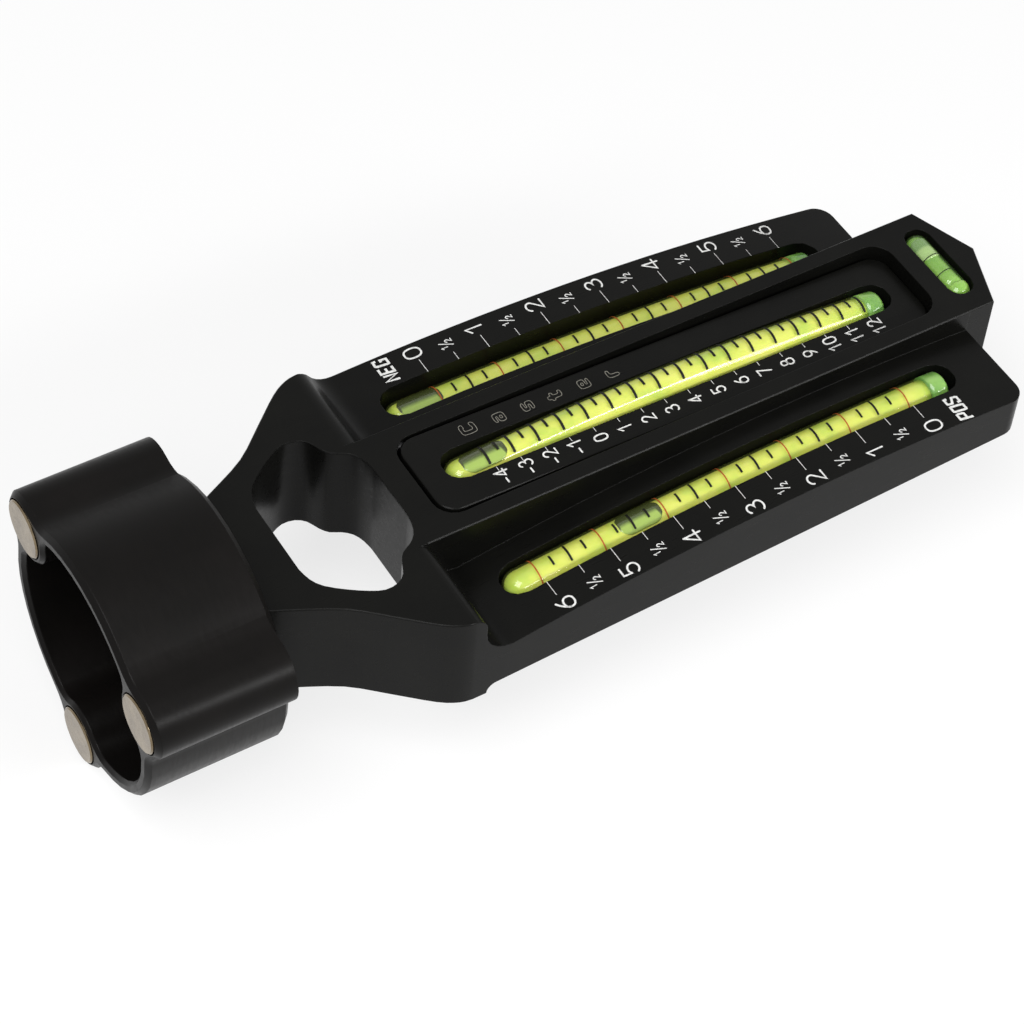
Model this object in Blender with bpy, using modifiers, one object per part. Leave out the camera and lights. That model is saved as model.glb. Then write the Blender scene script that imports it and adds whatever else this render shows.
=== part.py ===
"""Magnetic camber and castor gauge for a wheel hub, milled from aluminium.

+X runs from the magnets' contact plane to the tail, +Z is up, and the origin is the point of
that plane on the hub's axis. Units are metres.
"""

import math

import bmesh
import bpy
from mathutils import Matrix, Vector

# Clearances and cutting allowances
seat_gap = 0.0003
cut_overrun = 0.002
rim_allowance = 0.0001
edge_chamfer = 0.00025
spine_chamfer = 0.0003

# Milled body, seen from above
plate_thickness = 0.0257
body_half_width = 0.03774
spine_half_width = 0.015465
neck_length = 0.0366
wing_corner_radius = 0.004
tail_overhang = 0.0065
tail_point_length = 0.00577
tail_side_step = 0.00004
neck_outline_shares = [
    (0.0, 0.405), (0.05, 0.428), (0.14, 0.469), (0.385, 0.594),
    (0.59, 0.763), (0.781, 0.924), (0.89, 0.985), (0.965, 1.0),
]

# Opening through the neck
neck_wall = 0.0107
neck_hole_length = 0.0262
neck_hole_half_width = 0.0217
neck_hole_outline_shares = [
    (0.0, 0.0), (0.0, 0.41), (0.025, 0.56), (0.09, 0.69), (0.23, 0.83), (0.37, 0.94),
    (0.485, 1.0), (0.6, 0.985), (0.68, 0.91), (0.73, 0.78), (0.785, 0.69), (0.87, 0.634),
    (0.945, 0.55), (0.985, 0.43), (1.0, 0.3), (1.0, 0.0),
]

# Relief above and below the two wings
wing_crown_radius = 0.5755
wing_crown_depth = 0.004707
near_crown_offset = 0.03108
far_crown_offset = 0.03522
wing_low_depth = 0.0233
wing_high_depth = 0.01595
shoulder_fillet = 0.0065
shoulder_lead = 0.0022
near_shoulder_round = 0.0033
far_shoulder_round = 0.005
under_step_length = 0.002

# Camber vials and their slots in the wings
vial_radius = 0.0039
vial_wall = 0.0008
vial_length = 0.1131
vial_inset = 0.0129
vial_tail_inset = 0.011
vial_row_share = 0.4124
camber_tube_radius = 0.878
camber_zero_offset = 0.0433
near_vial_depth = 0.0087
far_vial_depth = 0.011
plug_reach = 0.0006
plug_head_length = 0.0049
plug_dome_length = 0.0017
plug_spigot_length = 0.004
vial_shell = 0.0022

# Bubbles
bubble_radius = 0.0022
bubble_length = 0.011
near_bubble_place_share = 0.282
far_bubble_place_share = 0.011
castor_bubble_place_share = 0.019
cross_bubble_length = 0.0062
cross_bubble_place_share = 0.06

# Castor pocket in the spine and the carrier that tilts in it
pocket_land = 0.0047
pocket_inset = 0.00625
pocket_half_width = 0.0116
pocket_depth = 0.02
pocket_corner_radius = 0.005
carrier_gap = 0.0008
carrier_thickness = 0.012
carrier_proud = 0.00015
carrier_tilt_deg = 1.53
castor_tube_radius = 0.5
castor_vial_depth = 0.0011
castor_apex_offset = 0.0035

# Hinge pin of the carrier
hinge_inset = 0.0038
hinge_depth = 0.0032
hinge_pin_radius = 0.00125
hinge_pin_bite = 0.0024

# Adjuster that lifts the carrier's tail
adjuster_setback = 0.011
adjuster_offset = 0.0072
adjuster_screw_radius = 0.0015
adjuster_play = 0.0009
adjuster_top_depth = 0.0086
adjuster_cover = 0.002
lift_nut_radius = 0.0031
lift_nut_height = 0.0035
collar_radius = 0.0026
collar_height = 0.0009
knob_radius = 0.0075
knob_height = 0.0065
knob_neck_radius = 0.0045
knob_neck_height = 0.0012
knob_knurl_depth = 0.0004
knob_knurl_count = 24

# Spring under the carrier
spring_setback = 0.023
spring_radius = 0.0022
spring_wire_radius = 0.0003
spring_turns = 6
spring_hole_depth = 0.005

# Cross-level vial in the tail
cross_vial_setback = 0.00365
cross_vial_radius = 0.00285
cross_vial_length = 0.0211
cross_vial_shift = 0.00025
cross_vial_depth = 0.0026
cross_plug_head_length = 0.0031
cross_plug_spigot_length = 0.0021

# Magnetic adapter
adapter_depth = 0.03185
adapter_radius = 0.0292
bore_radius = 0.026
web_thickness = 0.0075
lobe_radius = 0.0079
lobe_fillet = 0.008
bore_fillet = 0.005
magnet_circle_radius = 0.02887
adapter_turn_deg = 36.94
adapter_chamfer = 0.0011
bore_mouth_chamfer = 0.0008

# Magnets
magnet_radius = 0.00635
magnet_length = 0.006
magnet_stand_out = 0.00045
magnet_edge = 0.0003

# Swivel screw and its washer
washer_thickness = 0.0015
washer_radius = 0.0125
swivel_shoulder_radius = 0.005
swivel_thread_radius = 0.004
swivel_head_radius = 0.008
swivel_head_height = 0.005
swivel_socket_radius = 0.003
swivel_socket_depth = 0.003

# Distance of the camber vials from the middle plane
vial_row_offset = spine_half_width + vial_row_share * (body_half_width - spine_half_width)

# How far a plug's tip stays back from the end of its slot's outline
plug_setback = vial_radius - plug_reach - plug_dome_length

# Heights, measured from the hub's axis
top_z = plate_thickness / 2
bottom_z = -plate_thickness / 2
pocket_floor_z = top_z - pocket_depth

# Stations along the gauge, measured from the magnets' contact plane
adapter_front_x = magnet_stand_out
adapter_rear_x = adapter_front_x + adapter_depth
web_front_x = adapter_rear_x - web_thickness
washer_front_x = adapter_rear_x + seat_gap
neck_front_x = washer_front_x + washer_thickness + seat_gap
shoulder_x = neck_front_x + neck_length
vial_start_x = shoulder_x + vial_inset
vial_middle_x = vial_start_x + vial_length / 2
vial_end_x = vial_start_x + vial_length
wing_end_x = vial_end_x + vial_tail_inset
wing_length = wing_end_x - shoulder_x
wing_middle_x = (shoulder_x + wing_end_x) / 2
tail_corner_x = wing_end_x + tail_overhang
tail_tip_x = tail_corner_x + tail_point_length
cross_vial_x = tail_corner_x - cross_vial_setback
pocket_start_x = shoulder_x + pocket_inset
pocket_end_x = cross_vial_x - cross_vial_radius - seat_gap - pocket_land
hinge_x = pocket_start_x + hinge_inset
hinge_z = top_z - hinge_depth
adjuster_x = pocket_end_x - adjuster_setback
spring_x = pocket_end_x - spring_setback

# Facets: angles of the rings on a tube's dome, and Blender's bevel resolution of the tubes
dome_steps_deg = (16, 34, 56, 90)
vial_resolution = 5
bubble_resolution = 3


def clear_scene():
    for old in list(bpy.data.objects):
        bpy.data.objects.remove(old)


def make_collection(name):
    group = bpy.data.collections.new(name)
    bpy.context.scene.collection.children.link(group)
    return group


def make_material(name, colour, metallic, roughness, transmission=0.0):
    material = bpy.data.materials.new(name)
    material.use_nodes = True
    shader = material.node_tree.nodes["Principled BSDF"]
    shader.inputs["Base Color"].default_value = (*colour, 1.0)
    shader.inputs["Metallic"].default_value = metallic
    shader.inputs["Roughness"].default_value = roughness
    shader.inputs["Transmission Weight"].default_value = transmission
    return material


def make_empty(name, place, parent=None, turn=(0.0, 0.0, 0.0)):
    empty = bpy.data.objects.new(name, None)
    parts.objects.link(empty)
    empty.location = place
    empty.rotation_euler = turn
    empty.parent = parent
    return empty


def settle(obj, name, group, material=None, parent=None):
    """Name an object, move it to its collection and give it a material and a parent."""
    obj.name = name
    for owner in list(obj.users_collection):
        owner.objects.unlink(obj)
    group.objects.link(obj)
    if material is not None:
        obj.data.materials.clear()
        obj.data.materials.append(material)
    if parent is not None:
        obj.parent = parent
    if group is cutters:
        obj.hide_render = True
        obj.display_type = "WIRE"
    return obj


def as_mesh(curve):
    """Turn a curve object into a welded mesh object in the same place."""
    bpy.context.scene.collection.objects.link(curve)
    bpy.context.view_layer.update()
    evaluated = curve.evaluated_get(bpy.context.evaluated_depsgraph_get())
    mesh = bpy.data.meshes.new_from_object(evaluated)
    work = bmesh.new()
    work.from_mesh(mesh)
    bmesh.ops.remove_doubles(work, verts=work.verts, dist=weld_distance)
    bmesh.ops.recalc_face_normals(work, faces=work.faces)
    work.to_mesh(mesh)
    work.free()
    solid = bpy.data.objects.new(curve.name + ".solid", mesh)
    solid.matrix_world = curve.matrix_world
    bpy.context.scene.collection.objects.link(solid)
    bpy.data.objects.remove(curve)
    return solid


def flat_curve(outline, thickness, edge=0.0):
    """A flat outline in its own XY plane, thick along its own Z, with chamfered rims."""
    data = bpy.data.curves.new("outline", "CURVE")
    data.dimensions = "2D"
    data.fill_mode = "BOTH"
    data.extrude = thickness / 2 - edge
    data.bevel_depth = edge
    data.bevel_resolution = 0
    data.offset = -edge
    spline = data.splines.new("POLY")
    spline.points.add(len(outline) - 1)
    for point, (x, y) in zip(spline.points, outline):
        point.co = (x, y, 0.0, 1.0)
    spline.use_cyclic_u = True
    return bpy.data.objects.new("outline", data)


def plan_solid(outline, low_z, high_z, edge=0.0):
    """A solid with an outline seen from above, between two heights."""
    curve = flat_curve(outline, high_z - low_z, edge)
    curve.location = (0.0, 0.0, (low_z + high_z) / 2)
    return as_mesh(curve)


def side_solid(outline, low_y, high_y, edge=0.0):
    """A solid with an outline of (x, z) points, between two widths."""
    curve = flat_curve(outline, high_y - low_y, edge)
    curve.rotation_euler = (math.pi / 2, 0.0, 0.0)
    curve.location = (0.0, (low_y + high_y) / 2, 0.0)
    return as_mesh(curve)


def end_solid(outline, low_x, high_x, edge=0.0):
    """A solid with an outline of (y, z) points, between two stations along X."""
    curve = flat_curve(outline, high_x - low_x, edge)
    curve.rotation_euler = (math.pi / 2, 0.0, math.pi / 2)
    curve.location = ((low_x + high_x) / 2, 0.0, 0.0)
    return as_mesh(curve)


def flare_curve(outline, width):
    """A double cone that chamfers the rim of a hole with this outline.

    Its waist belongs a rim allowance outside the face that the hole opens in.
    """
    curve = flat_curve(outline, 0.0)
    curve.data.extrude = 0.0
    curve.data.bevel_depth = width + 2 * rim_allowance
    curve.data.offset = -rim_allowance
    return curve


def rod(radius, start, end, sides):
    """A cylinder between two points."""
    axis = Vector(end) - Vector(start)
    work = bmesh.new()
    bmesh.ops.create_cone(
        work, cap_ends=True, segments=sides, radius1=radius, radius2=radius, depth=axis.length
    )
    turn = axis.to_track_quat("Z", "Y").to_matrix().to_4x4()
    middle = Matrix.Translation((Vector(start) + Vector(end)) / 2)
    bmesh.ops.transform(work, matrix=middle @ turn, verts=work.verts)
    mesh = bpy.data.meshes.new("rod")
    work.to_mesh(mesh)
    work.free()
    return bpy.data.objects.new("rod", mesh)


def turned(profile, steps):
    """A turned solid about its own Z: profile points (radius, z), from top to bottom."""
    mesh = bpy.data.meshes.new("turned")
    edges = [(index, index + 1) for index in range(len(profile) - 1)]
    mesh.from_pydata([(radius, 0.0, z) for radius, z in profile], edges, [])
    solid = bpy.data.objects.new("turned", mesh)
    screw = solid.modifiers.new("Screw", "SCREW")
    screw.steps = steps
    screw.render_steps = steps
    screw.use_merge_vertices = True
    screw.merge_threshold = weld_distance
    return solid


def tube(stations, sides_resolution):
    """A solid tube through (point, radius) stations."""
    data = bpy.data.curves.new("tube", "CURVE")
    data.dimensions = "3D"
    data.bevel_depth = 1.0
    data.bevel_resolution = sides_resolution
    data.use_fill_caps = True
    spline = data.splines.new("POLY")
    spline.points.add(len(stations) - 1)
    for point, (place, radius) in zip(spline.points, stations):
        point.co = (*place, 1.0)
        point.radius = radius
    return as_mesh(bpy.data.objects.new("tube", data))


def loft(rings):
    """A closed solid through rings of equally many points, capped at both ends."""
    count = len(rings[0])
    points = [point for ring in rings for point in ring]
    faces = [list(range(count))[::-1], list(range(len(points) - count, len(points)))]
    for ring in range(len(rings) - 1):
        for index in range(count):
            after = (index + 1) % count
            low = ring * count
            high = low + count
            faces.append([low + index, low + after, high + after, high + index])
    mesh = bpy.data.meshes.new("loft")
    mesh.from_pydata(points, [], faces)
    work = bmesh.new()
    work.from_mesh(mesh)
    bmesh.ops.recalc_face_normals(work, faces=work.faces)
    work.to_mesh(mesh)
    work.free()
    return bpy.data.objects.new("loft", mesh)


def combine(target, tool, name, operation="DIFFERENCE"):
    """Cut a tool from a solid, or join it on, and keep the tool among the cutters."""
    settle(tool, name, cutters)
    tool.parent = target.parent
    step = target.modifiers.new(name, "BOOLEAN")
    step.operation = operation
    step.solver = "EXACT"
    step.object = tool
    return target


def shade_round(obj, sharp_deg=35):
    obj.data.shade_smooth()
    obj.data.set_sharp_from_angle(angle=math.radians(sharp_deg))
    return obj


def arc(centre, radius, start, end, steps):
    """Points along an arc, both ends included; angles in radians."""
    points = []
    for step in range(steps + 1):
        angle = start + (end - start) * step / steps
        points.append((centre[0] + radius * math.cos(angle), centre[1] + radius * math.sin(angle)))
    return points


def smooth_line(points, steps):
    """A Catmull-Rom line through points, with a few points added on each stretch."""
    line = [points[0]]
    for index in range(len(points) - 1):
        before = points[max(index - 1, 0)]
        start, end = points[index], points[index + 1]
        after = points[min(index + 2, len(points) - 1)]
        for step in range(1, steps + 1):
            t = step / steps
            line.append(tuple(
                (2 * b + (c - a) * t + (2 * a - 5 * b + 4 * c - d) * t * t
                 + (3 * b - a - 3 * c + d) * t ** 3) / 2
                for a, b, c, d in zip(before, start, end, after)
            ))
    return line


def mirrored(half):
    """Close a half outline that starts and ends on the X axis or runs beside it."""
    return half + [(x, -y) for x, y in reversed(half) if y > weld_distance]


def rounded_box(low_x, high_x, half_width, radius, steps):
    """The outline of a box with round corners, seen from above."""
    outline = []
    quarter = math.pi / 2
    for turn, (x, y) in enumerate((
        (high_x - radius, half_width - radius),
        (low_x + radius, half_width - radius),
        (low_x + radius, radius - half_width),
        (high_x - radius, radius - half_width),
    )):
        outline += arc((x, y), radius, quarter * turn, quarter * (turn + 1), steps)
    return outline


def domed_stations(path, start, end, radius, steps, start_dome=True, end_dome=True, end_length=None):
    """Stations of a tube along path from start to end, with a dome at either end.

    end_length is the length of the end's dome, which is round where none is given.
    """
    stations = []
    dome = [
        (radius * (1 - math.cos(math.radians(angle))), radius * math.sin(math.radians(angle)))
        for angle in dome_steps_deg
    ]
    end_length = end_length or radius
    low, high = start, end
    if start_dome:
        stations += [(path(start + along), width) for along, width in dome]
        low = start + radius
    if end_dome:
        high = end - end_length
    first = 1 if start_dome else 0
    last = steps - 1 if end_dome else steps
    for step in range(first, last + 1):
        stations.append((path(low + (high - low) * step / steps), radius))
    if end_dome:
        flatness = end_length / radius
        stations += [(path(end - along * flatness), width) for along, width in reversed(dome)]
    return stations


def bent_path(y, apex_x, apex_z, bend):
    """A path along X on an arc whose highest point is (apex_x, apex_z); it takes a station x."""
    def place(x):
        angle = math.asin((x - apex_x) / bend)
        return Vector((x, y, apex_z - bend * (1 - math.cos(angle))))
    return place


def slot_cutter(path, start, end, radius, roof_z, along_x=True, steps=18):
    """A round-bottomed, round-ended slot that is open above and follows a tube's path."""
    rings = []
    for centre, width in domed_stations(path, start, end, radius, steps):
        ring = []
        for across, lift in arc((0.0, 0.0), width, -math.pi, 0.0, 8):
            ring.append((across, centre.z + lift))
        ring.append((width, roof_z))
        ring.append((-width, roof_z))
        if along_x:
            rings.append([(centre.x, centre.y + across, z) for across, z in ring])
        else:
            rings.append([(centre.x + across, centre.y, z) for across, z in ring])
    return loft(rings)


def lobed_outline(ring, lobe, fillet, outward):
    """A ring with three lobes on the magnets' circle, blended by fillets.

    outward is 1 for the adapter's outside and -1 for its bore.
    """
    reach = ring + outward * fillet
    spread = math.acos(
        (reach ** 2 + magnet_circle_radius ** 2 - (lobe + fillet) ** 2)
        / (2 * reach * magnet_circle_radius)
    )
    outline = []
    third = 2 * math.pi / 3
    for index in range(3):
        aim = math.radians(adapter_turn_deg) + index * third
        lobe_centre = Vector((math.cos(aim), math.sin(aim))) * magnet_circle_radius
        before = Vector((math.cos(aim - spread), math.sin(aim - spread))) * reach
        after = Vector((math.cos(aim + spread), math.sin(aim + spread))) * reach
        to_lobe = lobe_centre - before
        lean = math.atan2(to_lobe.y, to_lobe.x)
        start = aim - spread + (math.pi if outward > 0 else 0.0)
        sweep = (lean - start + math.pi) % (2 * math.pi) - math.pi
        outline += arc(before, fillet, start, start + sweep, 4)
        lobe_start = lean + math.pi
        half = (aim + (0.0 if outward > 0 else math.pi) - lobe_start + math.pi) % (2 * math.pi) - math.pi
        outline += arc(lobe_centre, lobe, lobe_start, lobe_start + 2 * half, 12)[1:]
        to_lobe = lobe_centre - after
        lean = math.atan2(to_lobe.y, to_lobe.x)
        end = aim + spread + (math.pi if outward > 0 else 0.0)
        sweep = (end - lean + math.pi) % (2 * math.pi) - math.pi
        outline += arc(after, fillet, lean, lean + sweep, 4)[1:]
        outline += arc((0.0, 0.0), ring, aim + spread, aim + third - spread, 8)[1:-1]
    return outline


def body_outline():
    """The milled body seen from above: neck, shoulders, wings and pointed tail."""
    half = [
        (neck_front_x + along * neck_length, across * body_half_width)
        for along, across in neck_outline_shares
    ]
    half = smooth_line(half, 3)
    corner = (wing_end_x - wing_corner_radius, body_half_width - wing_corner_radius)
    half += arc(corner, wing_corner_radius, math.pi / 2, 0.0, 6)
    tail_half_width = spine_half_width - tail_side_step
    half += [(wing_end_x, tail_half_width), (tail_corner_x, tail_half_width), (tail_tip_x, 0.0)]
    return half[::-1] + [(x, -y) for x, y in half if y > weld_distance]


def neck_hole_outline():
    start_x = neck_front_x + neck_wall
    half = [
        (start_x + along * neck_hole_length, across * neck_hole_half_width)
        for along, across in neck_hole_outline_shares
    ]
    half = half[:1] + smooth_line(half[1:-1], 2) + half[-1:]
    return mirrored(half)


def wing_top_z(x, crown_x):
    drop = wing_crown_radius - math.sqrt(wing_crown_radius ** 2 - (x - crown_x) ** 2)
    return top_z - wing_crown_depth - drop


def top_relief(crown_x, rounding):
    """The (x, z) outline of what is milled away above a wing.

    It leaves the top over a rounding and meets the wing in the shoulder fillet.
    """
    start_x = shoulder_x - shoulder_lead
    both = rounding + shoulder_fillet
    foot_x = start_x + both
    for _ in range(3):
        fall = top_z - wing_top_z(foot_x, crown_x)
        lean = math.acos(max(0.0, 1 - fall / both))
        foot_x = start_x + both * math.sin(lean)
    foot_z = wing_top_z(foot_x, crown_x)
    crest = arc((start_x, top_z - rounding), rounding, math.pi / 2, math.pi / 2 - lean, 5)
    slope = (crest[0][1] - crest[1][1]) / (crest[1][0] - crest[0][0])
    outline = [(start_x - cut_overrun, top_z + cut_overrun)]
    outline += [(start_x - cut_overrun, top_z + slope * cut_overrun)] + crest[1:]
    hollow = arc((foot_x, foot_z + shoulder_fillet), shoulder_fillet, 1.5 * math.pi - lean, 1.5 * math.pi, 5)
    outline += hollow if fall > both else hollow[1:]
    end_x = wing_end_x + cut_overrun
    steps = 18
    for step in range(1, steps + 1):
        x = foot_x + (end_x - foot_x) * step / steps
        outline.append((x, wing_top_z(x, crown_x)))
    outline.append((end_x, top_z + cut_overrun))
    return outline


def under_relief(shoulder_depth, tail_depth):
    """The (x, z) outline of what is milled away below a wing."""
    step_x = shoulder_x + under_step_length
    slope = (shoulder_depth - tail_depth) / wing_length
    fillet = min(shoulder_fillet, plate_thickness - shoulder_depth)
    foot_x = step_x + fillet
    end_x = wing_end_x + cut_overrun
    foot_z = top_z - shoulder_depth + slope * (foot_x - shoulder_x)
    end_z = top_z - shoulder_depth + slope * (end_x - shoulder_x)
    outline = [(step_x, bottom_z - cut_overrun)]
    outline += arc((foot_x, foot_z - fillet), fillet, math.pi, math.pi / 2, 5)
    outline += [(end_x, end_z), (end_x, bottom_z - cut_overrun)]
    return outline


def make_body():
    """Neck, spine and wings, milled from one plate."""
    body = plan_solid(body_outline(), bottom_z, top_z, edge_chamfer)
    settle(body, "gauge_body", parts, black_anodised, swivel)
    outer = body_half_width + cut_overrun
    near_crown = wing_middle_x + near_crown_offset
    far_crown = wing_middle_x - far_crown_offset
    reliefs = (
        ("near_top_relief", top_relief(near_crown, near_shoulder_round), -outer, -spine_half_width),
        ("far_top_relief", top_relief(far_crown, far_shoulder_round), spine_half_width, outer),
        ("near_under_relief", under_relief(wing_low_depth, wing_high_depth), -outer, -spine_half_width),
        ("far_under_relief", under_relief(wing_high_depth, wing_low_depth), spine_half_width, outer),
    )
    for name, outline, low_y, high_y in reliefs:
        combine(body, side_solid(outline, low_y, high_y), name)
    out = spine_chamfer / 2
    for name, side in (("near", -1), ("far", 1)):
        start = (shoulder_x + out, side * (spine_half_width + out), top_z + out)
        end = (tail_corner_x + cut_overrun, side * (spine_half_width + out), top_z + out)
        combine(body, rod(2 * spine_chamfer, start, end, 4), name + "_spine_edge")
    outline = neck_hole_outline()
    hole = plan_solid(outline, bottom_z - cut_overrun, top_z + cut_overrun)
    combine(body, hole, "neck_opening")
    rim = flare_curve(outline, edge_chamfer)
    rim.location = (0.0, 0.0, top_z + rim_allowance)
    combine(body, as_mesh(rim), "neck_opening_rim")
    outline = rounded_box(
        pocket_start_x, pocket_end_x, pocket_half_width, pocket_corner_radius, 5
    )
    pocket = plan_solid(outline, pocket_floor_z, top_z + cut_overrun)
    combine(body, pocket, "castor_pocket")
    return body


def cut_body_details(body):
    """Slots, hinge hole, adjuster hole and swivel thread."""
    slot_start = vial_start_x - seat_gap
    slot_end = vial_end_x + seat_gap
    width = vial_radius + seat_gap
    roof = top_z + cut_overrun
    for name, path in (("near_slot", near_path), ("far_slot", far_path)):
        combine(body, slot_cutter(path, slot_start, slot_end, width, roof), name)
    half = cross_vial_length / 2 + seat_gap
    cross_slot = slot_cutter(
        lambda y: Vector((cross_vial_x, y, top_z - cross_vial_depth)),
        cross_vial_shift - half, cross_vial_shift + half,
        cross_vial_radius + seat_gap, roof, along_x=False, steps=6,
    )
    combine(body, cross_slot, "cross_slot")
    blind_y = -pocket_half_width - hinge_pin_bite - seat_gap
    hole = rod(
        hinge_pin_radius + seat_gap,
        (hinge_x, blind_y, hinge_z), (hinge_x, body_half_width, hinge_z), 16,
    )
    combine(body, hole, "hinge_pin_hole")
    hole = rod(
        adjuster_screw_radius + seat_gap,
        (adjuster_x, adjuster_offset, bottom_z - cut_overrun),
        (adjuster_x, adjuster_offset, pocket_floor_z + cut_overrun), 16,
    )
    combine(body, hole, "adjuster_hole")
    hole = rod(
        swivel_thread_radius + seat_gap,
        (neck_front_x - cut_overrun, 0.0, 0.0),
        (neck_front_x + neck_wall + cut_overrun, 0.0, 0.0), 24,
    )
    combine(body, hole, "swivel_thread_hole")


def turned_envelope():
    """A turned solid round the adapter that ends the lobes where the rear chamfer begins."""
    outer = magnet_circle_radius + lobe_radius + cut_overrun
    cone = adapter_radius + 2 * rim_allowance
    stop_x = adapter_rear_x - adapter_chamfer - rim_allowance
    rear_x = adapter_rear_x + cut_overrun
    front_x = adapter_front_x - cut_overrun
    envelope = turned([
        (0.0, rear_x), (cone - (rear_x - stop_x), rear_x), (cone, stop_x),
        (outer, stop_x), (outer, front_x), (0.0, front_x),
    ], 96)
    envelope.rotation_euler = (0.0, math.pi / 2, 0.0)
    return envelope


def make_adapter():
    """The round magnet adapter: three lobes outside and in, a web and the swivel hole."""
    outside = lobed_outline(adapter_radius, lobe_radius, lobe_fillet, 1)
    adapter = end_solid(outside, adapter_front_x, adapter_rear_x, adapter_chamfer)
    settle(adapter, "magnet_adapter", parts, black_adapter)
    combine(adapter, turned_envelope(), "lobe_stop", "INTERSECT")
    inside = lobed_outline(bore_radius, lobe_radius, bore_fillet, -1)
    bore = end_solid(inside, adapter_front_x - cut_overrun, web_front_x)
    combine(adapter, bore, "adapter_bore")
    mouth = flare_curve(inside, bore_mouth_chamfer)
    mouth.rotation_euler = (math.pi / 2, 0.0, math.pi / 2)
    mouth.location = (adapter_front_x - rim_allowance, 0.0, 0.0)
    combine(adapter, as_mesh(mouth), "adapter_bore_mouth")
    hole = rod(
        swivel_shoulder_radius + seat_gap,
        (web_front_x - cut_overrun, 0.0, 0.0), (adapter_rear_x + cut_overrun, 0.0, 0.0), 32,
    )
    combine(adapter, hole, "swivel_hole")
    pocket_end = magnet_length + seat_gap
    for index, (y, z) in enumerate(magnet_places(), 1):
        pocket = rod(
            magnet_radius + seat_gap, (adapter_front_x - cut_overrun, y, z), (pocket_end, y, z), 32
        )
        combine(adapter, pocket, f"magnet_pocket_{index}")
    return adapter


def magnet_places():
    places = []
    for index in range(3):
        aim = math.radians(adapter_turn_deg + index * 120)
        places.append((magnet_circle_radius * math.cos(aim), magnet_circle_radius * math.sin(aim)))
    return places


def make_magnets():
    for index, (y, z) in enumerate(magnet_places(), 1):
        profile = [
            (0.0, magnet_length), (magnet_radius - magnet_edge, magnet_length),
            (magnet_radius, magnet_length - magnet_edge), (magnet_radius, magnet_edge),
            (magnet_radius - magnet_edge, 0.0), (0.0, 0.0),
        ]
        magnet = turned(profile, 32)
        magnet.rotation_euler = (0.0, math.pi / 2, 0.0)
        magnet.location = (0.0, y, z)
        settle(magnet, f"magnet_{index}", parts, nickel)


def make_swivel_screw():
    """Shoulder screw through the web into the neck, with its friction washer."""
    head_x = web_front_x - seat_gap - swivel_head_height
    shoulder_end_x = neck_front_x - seat_gap
    tip_x = neck_front_x + neck_wall - edge_chamfer
    profile = [
        (0.0, tip_x), (swivel_thread_radius - edge_chamfer, tip_x),
        (swivel_thread_radius, tip_x - edge_chamfer), (swivel_thread_radius, shoulder_end_x),
        (swivel_shoulder_radius, shoulder_end_x), (swivel_shoulder_radius, web_front_x - seat_gap),
        (swivel_head_radius, web_front_x - seat_gap), (swivel_head_radius, head_x + edge_chamfer),
        (swivel_head_radius - edge_chamfer, head_x), (0.0, head_x),
    ]
    screw = turned(profile, 32)
    screw.rotation_euler = (0.0, math.pi / 2, 0.0)
    settle(screw, "swivel_screw", parts, dark_steel, swivel)
    socket = rod(
        swivel_socket_radius, (0.0, 0.0, head_x - cut_overrun),
        (0.0, 0.0, head_x + swivel_socket_depth), 6,
    )
    socket.rotation_euler = (0.0, math.pi / 2, 0.0)
    combine(screw, socket, "swivel_socket")
    inner = swivel_shoulder_radius + seat_gap
    profile = [
        (inner, washer_thickness), (washer_radius, washer_thickness),
        (washer_radius, 0.0), (inner, 0.0), (inner, washer_thickness),
    ]
    washer = turned(profile, 32)
    washer.rotation_euler = (0.0, math.pi / 2, 0.0)
    washer.location = (washer_front_x, 0.0, 0.0)
    settle(washer, "swivel_washer", parts, nylon, swivel)


def make_vial(name, path, start, end, radius, head, dome_length, spigot_length, parent, steps):
    """A vial: tube with one domed end, bored from the other, and the plug that closes it.

    Returns how far along the path the plug leaves the bore free.
    """
    tube_end = end - head - seat_gap
    bore = radius - shell_wall(radius)
    vial = tube(domed_stations(path, start, tube_end, radius, steps, True, False), vial_resolution)
    settle(vial, name + "_vial", parts, vial_green, parent)
    bore_start = start + shell_end(radius)
    hollow = domed_stations(path, bore_start, tube_end + cut_overrun, bore, steps, True, False)
    combine(vial, tube(hollow, vial_resolution), name + "_vial_bore")
    spigot = bore - seat_gap
    head_start = end - head
    spigot_start = head_start - spigot_length
    stations = [
        (path(spigot_start), spigot - seat_gap), (path(spigot_start + seat_gap), spigot),
        (path(head_start - seat_gap), spigot), (path(head_start - seat_gap / 2), radius - seat_gap / 2),
    ]
    stations += domed_stations(path, head_start, end, radius, 2, False, True, dome_length)
    settle(tube(stations, vial_resolution), name + "_vial_plug", parts, plug_green, parent)
    return spigot_start


def shell_end(radius):
    """The thickness of a vial's closed end, in proportion to its radius."""
    return vial_shell * radius / vial_radius


def shell_wall(radius):
    """The vial wall, in proportion to the tube's radius."""
    return vial_wall * radius / vial_radius


def make_camber_vials():
    for name, path, apex_x, depth, y, place_share in (
        ("near", near_path, near_zero_x, near_vial_depth, -vial_row_offset, near_bubble_place_share),
        ("far", far_path, far_zero_x, far_vial_depth, vial_row_offset, far_bubble_place_share),
    ):
        room_end = make_vial(
            name, path, vial_start_x, vial_end_x - plug_setback, vial_radius,
            plug_head_length, plug_dome_length, plug_spigot_length, swivel, 16,
        )
        centre = (apex_x, y, top_z - depth - camber_tube_radius)
        hub = make_empty(name + "_bubble_axis", centre, swivel)
        make_bubble(name, hub, Vector(centre), camber_tube_radius, place_share, room_end, y, apex_x)


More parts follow.
